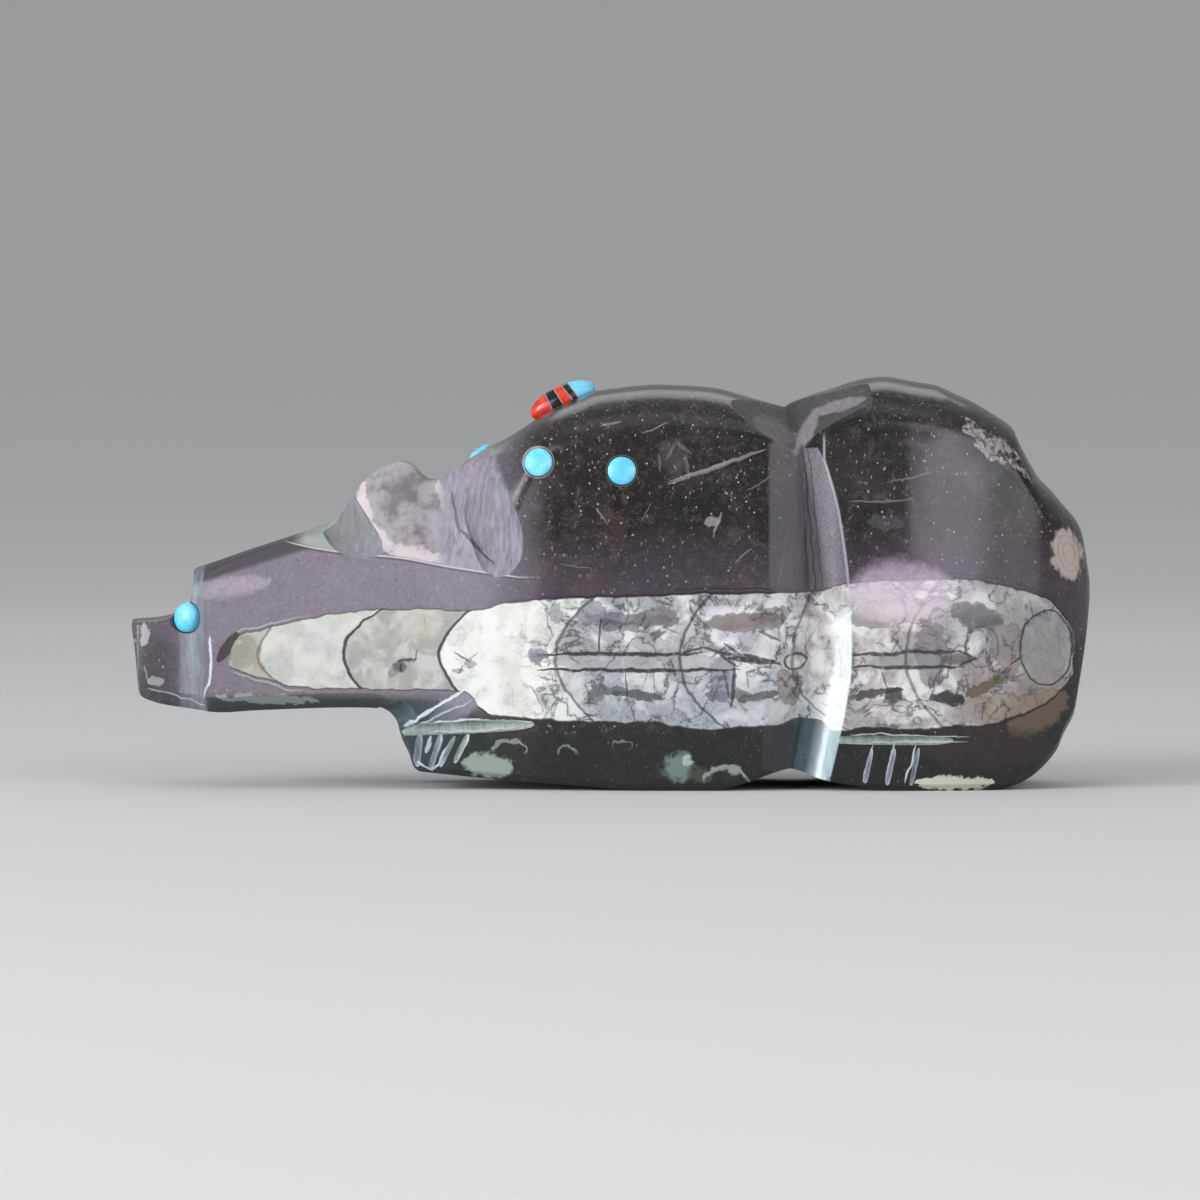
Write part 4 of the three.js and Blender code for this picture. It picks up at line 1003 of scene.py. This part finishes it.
# Painted highlights: pale strokes along the ears' edges, where they catch the light
rim = 0
for start, end, width in (
        ((24.12, 31.2), (25.08, 27.98), 1.3), ((24.66, 28.94), (27.66, 24.98), 1.3),
        ((26.91, 25.62), (32.8, 24.55), 1.5), ((31.2, 24.98), (39.77, 22.51), 1.5),
        ((32.37, 32.91), (34.09, 28.41), 1.2), ((33.66, 29.27), (38.38, 22.83), 1.3),
        ((24.44, 32.7), (23.8, 30.55), 1.0)):
    rim = dash(torn, start, end, width).most(rim)
ear_stone = paint(rim * (blotch.fade(0.25, 0.5) * 0.5 + 0.35), ear_stone, ink(204, 194, 194))
ear_stone = paint(along.fade(24, 22.6) * 0.7, ear_stone, ink(150, 160, 152))
pattern = paint(on_ear * 0.9, pattern, ear_stone)
nape = along.fade(32.2, 34) * on_ear
fold = dash(bent, (33.9, 31.8), (34.9, 27.0), 0.34, 0.7).most(
    dash(bent, (34.6, 27.9), (38.5, 23.9), 0.36, 0.8))
# Along the crisp line at the ears' foot: a pale painted highlight, and just below it a dark painted shade
# line
ear_foot_highlight = abs(height - ear_foot).fade(0.12, 0.03) * along.fade(16, 18) * along.fade(44, 40)
pattern = paint(ear_foot_highlight * 0.75, pattern, ink(200, 194, 196))
ear_foot_shade_line = abs(height - ear_foot + 0.22).fade(0.14, 0.04) * along.fade(16, 18) * along.fade(44, 40)
pattern = paint(ear_foot_shade_line * 0.6, pattern, ink(52, 47, 50))

# What the tools left: each ground cut has its own powdery colour
ground, throat, paw, claw, waist, saddle, broken, drilled = [
    attribute(place, kind) for kind in KINDS[1:]]
brushed = spot.node("Mapping", {}, {"Vector": spot, "Rotation": (0, 0.35, 0), "Scale": (1.5, 1, 0.25)})
streaks = cloud(brushed, 1.5, 4, 0.7)
# Brushed streaks: they mottle the powder of the cuts, and also the painted glare, painted reflection and
# painted highlights at the waist
dust_and_glare_streaks = streaks.fade(0.25, 0.8)
for kind, strength, dark, light in (
        (ground.most(nape), 0.85, (106, 100, 110), (164, 157, 169)),
        (throat, 0.7, (54, 70, 76), (104, 120, 128)),
        (paw, 0.85, (120, 131, 125), (166, 177, 170)),
        (claw, 0.85, (128, 138, 144), (196, 204, 210)),
        (saddle, 0.35, (52, 48, 51), (76, 72, 76)),
        (waist, 0.85, (70, 65, 70), (106, 100, 107))):
    pattern = paint(kind * strength, pattern, ink(*dark))
    pattern = paint(kind * strength * dust_and_glare_streaks, pattern, ink(*light))
# Pale marks at the top of the waist: two painted highlights along the haunch's lit top edge, and a grey dusty
# patch in front of them
bevel = dash(bent, (70.7, 35.6), (73.5, 40.7), 1.3, 0.75).most(
    dash(bent, (72.7, 40.1), (78.6, 41.8), 1.1, 0.7))
bevel = bevel.most(dash(torn, (66.5, 39.6), (71.4, 36.6), 2.2, 0.3))
pattern = paint(fold * near, pattern, ink(64, 58, 64))
pattern = paint(bevel * (dust_and_glare_streaks * 0.5 + 0.5), pattern, ink(156, 148, 156))
pattern = paint(ground * along.fade(30, 28) * 0.45, pattern, ink(112, 118, 115))

# The waist's pass: grey above the shell, teal below it as a painted reflection, with the scored line of its
# valley, a painted sheen and a painted highlight along its crisp edge, and a painted white glare beside it
ridge = height_line(height, RIDGE)
teal = (along - ridge).fade(-5.2, -3.6)
# The foot of the pass is painted darker, and towards its front a painted teal reflection lies on it
foot = waist * (height - 7.5).fade(1, -1, 0.85)
pattern = paint(foot, pattern, ink(36, 42, 44))
pattern = paint(foot * teal * (dust_and_glare_streaks * 0.4 + 0.6), pattern, ink(66, 98, 106))
flat = along.fade(67.5, 68) * along.fade(71.6, 71.2) * height.fade(20.9, 21.9) * height.fade(36.8, 36.4)
pattern = paint(flat * (1 - saddle) * 0.55, pattern, ink(92, 88, 92))
# Painted sheen: lilac-grey painted on the wall before the crisp edge, above the shell
wall_sheen = (along - ridge).fade(-2.9, -1.7) * (along - ridge).fade(0.1, -0.1) * waist * (height - 21).fade(-1, 1)
pattern = paint(wall_sheen * 0.6, pattern, ink(136, 128, 138))
speck = cloud(spot, 5, 2, 0.7)
pattern = paint(speck.fade(0.44, 0.62) * waist.most(flat) * 0.45, pattern, ink(52, 46, 50))
scores = dash(bent, (71.5, 37.2), (73.2, 20.4), 0.26).most(dash(bent, (72.1, 37.2), (73.9, 20.4), 0.2) * 0.7)
pattern = paint(scores * waist.most(flat) * 0.8, pattern, ink(40, 36, 40))
# A painted highlight: a pale line painted along the crisp edge, on the stone and the calcite
ridge_highlight = abs(along - ridge).fade(0.2, 0.05) * (height - 37.5).fade(0.5, -1) * near
ridge_highlight = ridge_highlight * (height - 18).fade(-3, 6, 0.45)
pattern = paint(ridge_highlight, pattern, ink(206, 206, 212))
shell = paint(ridge_highlight, shell, ink(206, 206, 212))
# A painted reflection: a white glare painted beside the crisp edge, low on the pass and over the shell
waist_glare = ((along - ridge).fade(-2.7, -0.7) * (along - ridge).fade(0.1, -0.15) * height.fade(20.6, 17.5) * near
         * (dust_and_glare_streaks * 0.35 + 0.6))
pattern = paint(waist_glare * 0.8, pattern, ink(206, 224, 230))
shell = paint(waist_glare, shell, ink(240, 246, 248))

# Pale worn edges along the muzzle's hollow, the jaw, the throat and the paws: partly worn stone and partly
# painted highlight where the edges catch the light
muzzle_hollow = along.fade(4.9, 5.6) * along.fade(8.0, 7.7)
pattern = paint(muzzle_hollow * 0.45, pattern, ink(96, 104, 112))
pattern = paint(muzzle_hollow * dust_and_glare_streaks * 0.35, pattern, ink(168, 176, 184))
worn = 0
for start, end, width, strength in (
        ((7.83, 16.19), (8.04, 13.19), 0.28, 0.9), ((8.04, 13.94), (7.72, 10.61), 0.3, 0.9),
        ((7.83, 11.26), (6.97, 9.43), 0.26, 0.8), ((0.86, 10.4), (4.07, 9.65), 0.18, 0.5),
        ((3.64, 9.76), (7.29, 8.47), 0.18, 0.5), ((28.73, 6.43), (32.8, 8.9), 0.34, 0.85),
        ((31.2, 7.93), (35.59, 10.61), 0.34, 0.9), ((34.41, 9.97), (37.84, 12.01), 0.18, 0.5),
        ((29.48, 6.22), (36.23, 9.43), 0.2, 0.5), ((30.55, 6.75), (37.09, 7.4), 0.26, 0.8),
        ((36.02, 7.29), (42.67, 7.08), 0.2, 0.7), ((31.2, 5.79), (40.84, 6.32), 0.2, 0.5),
        ((0.64, 12.97), (1.0, 10.9), 0.16, 0.3), ((79.11, 4.61), (78.04, 0.64), 0.22, 0.75),
        ((81.47, 4.82), (80.4, 0.64), 0.22, 0.75), ((83.72, 4.61), (82.44, 0.54), 0.22, 0.75),
        ((76.54, 5.79), (89.4, 5.57), 0.16, 0.6), ((76.54, 4.82), (89.19, 5.04), 0.16, 0.5),
        ((35.8, 5.79), (34.63, 3), 0.42, 0.9), ((34.09, 5.25), (32.59, 2.47), 0.36, 0.8),
        ((31.73, 5.47), (31.09, 3.54), 0.5, 0.6), ((32.91, 5.36), (32.37, 3.54), 0.4, 0.5),
        ((30.23, 2.47), (31.95, 1.72), 0.26, 0.8), ((31.73, 1.72), (33.45, 3.22), 0.26, 0.8)):
    worn = dash(bent, start, end, width, strength).most(worn)
pattern = paint(worn * near, pattern, ink(206, 212, 216))
shell = paint(worn * near, shell, ink(206, 212, 216))
chips = cloud(spot, 1.4, 4, 0.7)
pattern = paint(broken, pattern, paint(chips.fade(0.42, 0.6), ink(88, 84, 84), ink(176, 172, 172)))
scars = 0
for start, end, width in (
        ((88.9, 38.6), (92.2, 37.4), 1.1), ((89.83, 37.2), (93.8, 35.7), 1.2),
        ((91.6, 38.1), (95.0, 35.2), 1.0), ((92.84, 36.34), (95.41, 33.77), 0.8),
        ((90.69, 36.13), (93.26, 34.63), 0.5), ((93.91, 35.27), (96.69, 32.48), 0.5),
        ((88.76, 39.56), (90.26, 38.7), 0.5)):
    scars = dash(torn, start, end, width).most(scars)
scars = scars * near * (chips * 0.5 + streaks * 0.5).fade(0.42, 0.58) * 0.8
pattern = paint(scars, pattern, ink(182, 176, 175))
pattern = paint(drilled * 0.8, pattern, ink(96, 92, 90))
level_place = place.node("VectorMath", {"operation": "MULTIPLY"}, {0: place, 1: (1, 0, 1)})
glue_line = ring(level_place, (43.41, 34.64), (1.62, 1.6), 0.09).most(
    ring(level_place, (52.22, 33.74), (1.6, 1.6), 0.08, 0, 0.35))
pattern = paint(glue_line * near * 0.75, pattern, ink(170, 168, 172))
pattern.feed(surface["Base Color"])

scuffs = cloud(spot, 1.2, 3, 0.65)
gloss = scuffs.fade(0.3, 0.8) * 0.12 + 0.15
grain = speck * 0.05
dull = (attribute(place, "matte") + on_ear * 0.24 + flat * 0.2 + muzzle_hollow * 0.1
        + along.fade(46, 40) * 0.12 + crown * 0.3)
(gloss + dull.least(0.6)).feed(surface["Roughness"])
STONE_IOR, BUMP_DEPTH = 1.52, 0.00025
surface["IOR"].default_value = STONE_IOR
rough = grain + wear_and_sheen_mottle * attribute(place, "tooled") * 0.4 + chips * broken * 1.4
rough.node("Bump", {}, {"Height": rough, "Distance": BUMP_DEPTH, "Strength": 0.45}).feed(surface["Normal"])

# The calcite of the long shell takes a higher polish than the dark stone round it
even = grain.node("Bump", {}, {"Height": grain, "Distance": BUMP_DEPTH, "Strength": 0.3})
calcite = shell.node("BsdfPrincipled", {}, {"Base Color": shell, "Roughness": gloss, "Normal": even,
                                            "IOR": STONE_IOR})
dark = Value(surface["Base Color"].node.outputs["BSDF"])
whole = calcite.node("MixShader", {}, {0: in_shell, 1: dark, 2: calcite})
whole.feed(limestone.node_tree.nodes["Material Output"].inputs["Surface"])


def finished(mesh, name, material, sharp):
    """Puts a mesh made in millimetres into the scene, in metres, smooth but for its sharp edges."""
    mesh.transform(Matrix.Scale(0.001, 4))
    mesh.materials.clear()
    mesh.materials.append(material)
    mesh.polygons.foreach_set("material_index", [0] * len(mesh.polygons))
    mesh.polygons.foreach_set("use_smooth", [True] * len(mesh.polygons))
    mesh.set_sharp_from_angle(angle=math.radians(sharp))
    piece = bpy.data.objects.new(name, mesh)
    mesh.name = name
    bpy.context.scene.collection.objects.link(piece)
    return piece


bear = finished(carved, "bear", limestone, 24)
weigh = bear.modifiers.new("even_shading", "WEIGHTED_NORMAL")
weigh.keep_sharp = True
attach(bear, "root")
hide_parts("bear_body")

# The eyes and dots: round stones of sky-blue turquoise with thin dark veins, cut as low domes.
# Each is glued into a seat that was drilled for it, and ground nearly level with the body.
turquoise, surface, spot = new_material("turquoise")
sky = paint(cloud(spot, 0.5, 4, 0.6).fade(0.35, 0.7), ink(92, 196, 232), ink(142, 222, 240))
matrix = abs(cloud(spot, 0.7, 4, 0.5, 0.8) - 0.5).fade(0.012, 0.002) * cloud(spot, 0.9, 2).fade(0.55, 0.7)
sky = paint(matrix * 0.5, sky, ink(66, 120, 132))
sky.feed(surface["Base Color"])
(cloud(spot, 4, 3) * 0.14 + 0.2).feed(surface["Roughness"])
pits = cloud(spot, 7, 2)
pits.node("Bump", {}, {"Height": pits, "Distance": 0.0001, "Strength": 0.3}).feed(surface["Normal"])


def domed(stone):
    """A round stone: flat foot, upright girdle, a small worn corner and a low dome."""
    r, dome = stone["diameter"] / 2, stone["dome"]
    face = [(r * math.cos(a), dome * math.sin(a)) for a in np.linspace(0.06, math.pi / 2, 16)]
    profile = [(0, -stone["depth"]), (r, -stone["depth"]), (r, 0), *face[:-1], (0, dome)]
    return turned(profile, 56, stone["place"])


for stone in round_stones():
    dot = finished(domed(stone), stone["name"] + "_stone", turquoise, 50)
    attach(dot, "root")
    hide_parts(stone["name"])

# The bundle on the back: two slips of red coral, two of black jet and one of turquoise, side by side.
# They are glued to each other, ground to one egg and set in a pocket on the slope of the shoulders.
coral, surface, spot = new_material("red_coral")
red = paint(cloud(spot, 0.9, 4).fade(0.3, 0.7), ink(190, 34, 26), ink(226, 70, 54))
red.feed(surface["Base Color"])
(cloud(spot, 3, 3) * 0.12 + 0.16).feed(surface["Roughness"])
jet, surface, spot = new_material("jet")
paint(cloud(spot, 1.5, 3), ink(14, 13, 14), ink(30, 28, 30)).feed(surface["Base Color"])
(cloud(spot, 3, 3) * 0.1 + 0.12).feed(surface["Roughness"])

# The seams from the neck on, as (share of the half length, lean), and the glue between two slips
SEAMS = ((-0.378, 0), (-0.045, 0.12), (0.245, 0.25), (0.42, 0.2))
JOINT = 0.12


def beyond(seam, direction):
    """Everything on one side of a seam, as a block. direction is 1 behind it and -1 before it."""
    at, lean = seam
    size = BUNDLE_SIZE.x
    place = (BUNDLE_PLACE @ Matrix.Translation((at * size / 2, 0, 0)) @ Matrix.Rotation(-lean, 4, "Y")
             @ Matrix.Translation((direction * (size + JOINT / 2), 0, 0)))
    corners = [[place @ Vector((x * size, y * size, z * size))
                for y, z in ((-1, -1), (1, -1), (1, 1), (-1, 1))] for x in (-1, 1)]
    return closed_mesh(corners)


for k, (name, material) in enumerate((("front_coral", coral), ("front_jet", jet), ("rear_coral", coral),
                                      ("rear_jet", jet), ("turquoise", turquoise))):
    halves = []
    if k:
        halves.append((beyond(SEAMS[k - 1], 1), "uncut"))
    if k < len(SEAMS):
        halves.append((beyond(SEAMS[k], -1), "uncut"))
    slip = finished(carve(bundle_egg(0), halves, "INTERSECT"), "bundle_" + name + "_slip", material, 40)
    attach(slip, "root")
    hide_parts("bundle_" + name)

# The stage: a plain pale floor that curves up all round, soft lights, and a camera level with the flank.
# Four wide softboxes stand round the bear, and a low strip beside its head gives the gloss its edge.
floor_mesh = bpy.data.meshes.new("floor")
HUB, FLAT, CURVE, WALL = 0.02, 0.8, 1.6, 0.1
profile = [(HUB, 0)] + [(FLAT * k / 6, 0) for k in range(1, 7)]
profile += [(FLAT + CURVE * math.sin(a), CURVE - CURVE * math.cos(a))
            for a in np.linspace(0.15, math.pi / 2, 10)]
profile += [(FLAT + CURVE, CURVE + WALL)]
columns = 96
points = [(r * math.cos(2 * math.pi * c / columns), r * math.sin(2 * math.pi * c / columns), h)
          for r, h in profile for c in range(columns)]
faces = [(r * columns + c, r * columns + (c + 1) % columns, (r + 1) * columns + (c + 1) % columns,
          (r + 1) * columns + c) for r in range(len(profile) - 1) for c in range(columns)]
faces.append(tuple(range(columns))[::-1])
floor_mesh.from_pydata(points, [], faces)
floor_mesh.polygons.foreach_set("use_smooth", [True] * len(floor_mesh.polygons))
floor = bpy.data.objects.new("floor", floor_mesh)
bpy.context.scene.collection.objects.link(floor)
paper, surface, spot = new_material("pale_paper")
surface["Base Color"].default_value = ink(217, 217, 216)
surface["Roughness"].default_value = 0.85
surface["Specular IOR Level"].default_value = 0
floor_mesh.materials.append(paper)


def lamp(name, azimuth, elevation, distance, size, brightness, tint):
    """A soft light that faces the bear. Azimuth 0 is the camera's side, and 90 is behind the rump."""
    data = bpy.data.lights.new(name, "AREA")
    data.shape = "RECTANGLE"
    data.size, data.size_y = size
    data.energy = math.pi * size[0] * size[1] * brightness
    data.color = tint
    light = bpy.data.objects.new(name, data)
    light.visible_camera = False
    a, e = math.radians(azimuth), math.radians(elevation)
    middle = Vector((0, 0, 0.02))
    toward = Vector((math.sin(a) * math.cos(e), -math.cos(a) * math.cos(e), math.sin(e)))
    light.location = middle + distance * toward
    light.rotation_euler = (middle - light.location).to_track_quat("-Z", "Y").to_euler()
    bpy.context.scene.collection.objects.link(light)


lamp("left_softbox", -40, 16, 0.9, (0.55, 0.48), 3.9, (1, 0.93, 1.02))
lamp("right_softbox", 40, 20, 0.9, (1.06, 0.54), 1.9, (0.98, 0.95, 1.02))
lamp("top_softbox", 0, 75, 0.9, (0.68, 0.52), 0.5, (1, 1, 1))
lamp("back_softbox", 180, 40, 0.95, (0.66, 0.36), 1.1, (1, 1, 1))
lamp("low_strip", -62, 13, 0.9, (0.28, 0.44), 13, (0.9, 1, 1))

world = bpy.data.worlds.new("studio")
world.use_nodes = True
world.node_tree.nodes["Background"].inputs["Color"].default_value = (0.97, 0.98, 1, 1)
world.node_tree.nodes["Background"].inputs["Strength"].default_value = 0.42
bpy.context.scene.world = world
bpy.context.scene.view_settings.view_transform = "Standard"

MM_PER_PIXEL = 0.1072
AIM = Vector((-1.18, 0, 19.8)) / 1000
LENS, TILT = 200, math.radians(1.5)
frame_width = 1200 * MM_PER_PIXEL / 1000
camera = bpy.data.objects.new("camera", bpy.data.cameras.new("camera"))
camera.data.lens = LENS
distance = frame_width * LENS / camera.data.sensor_width
camera.location = AIM + Vector((0, -math.cos(TILT), math.sin(TILT))) * distance
camera.rotation_euler = (math.pi / 2 - TILT, 0, 0)
bpy.context.scene.collection.objects.link(camera)
bpy.context.scene.camera = camera
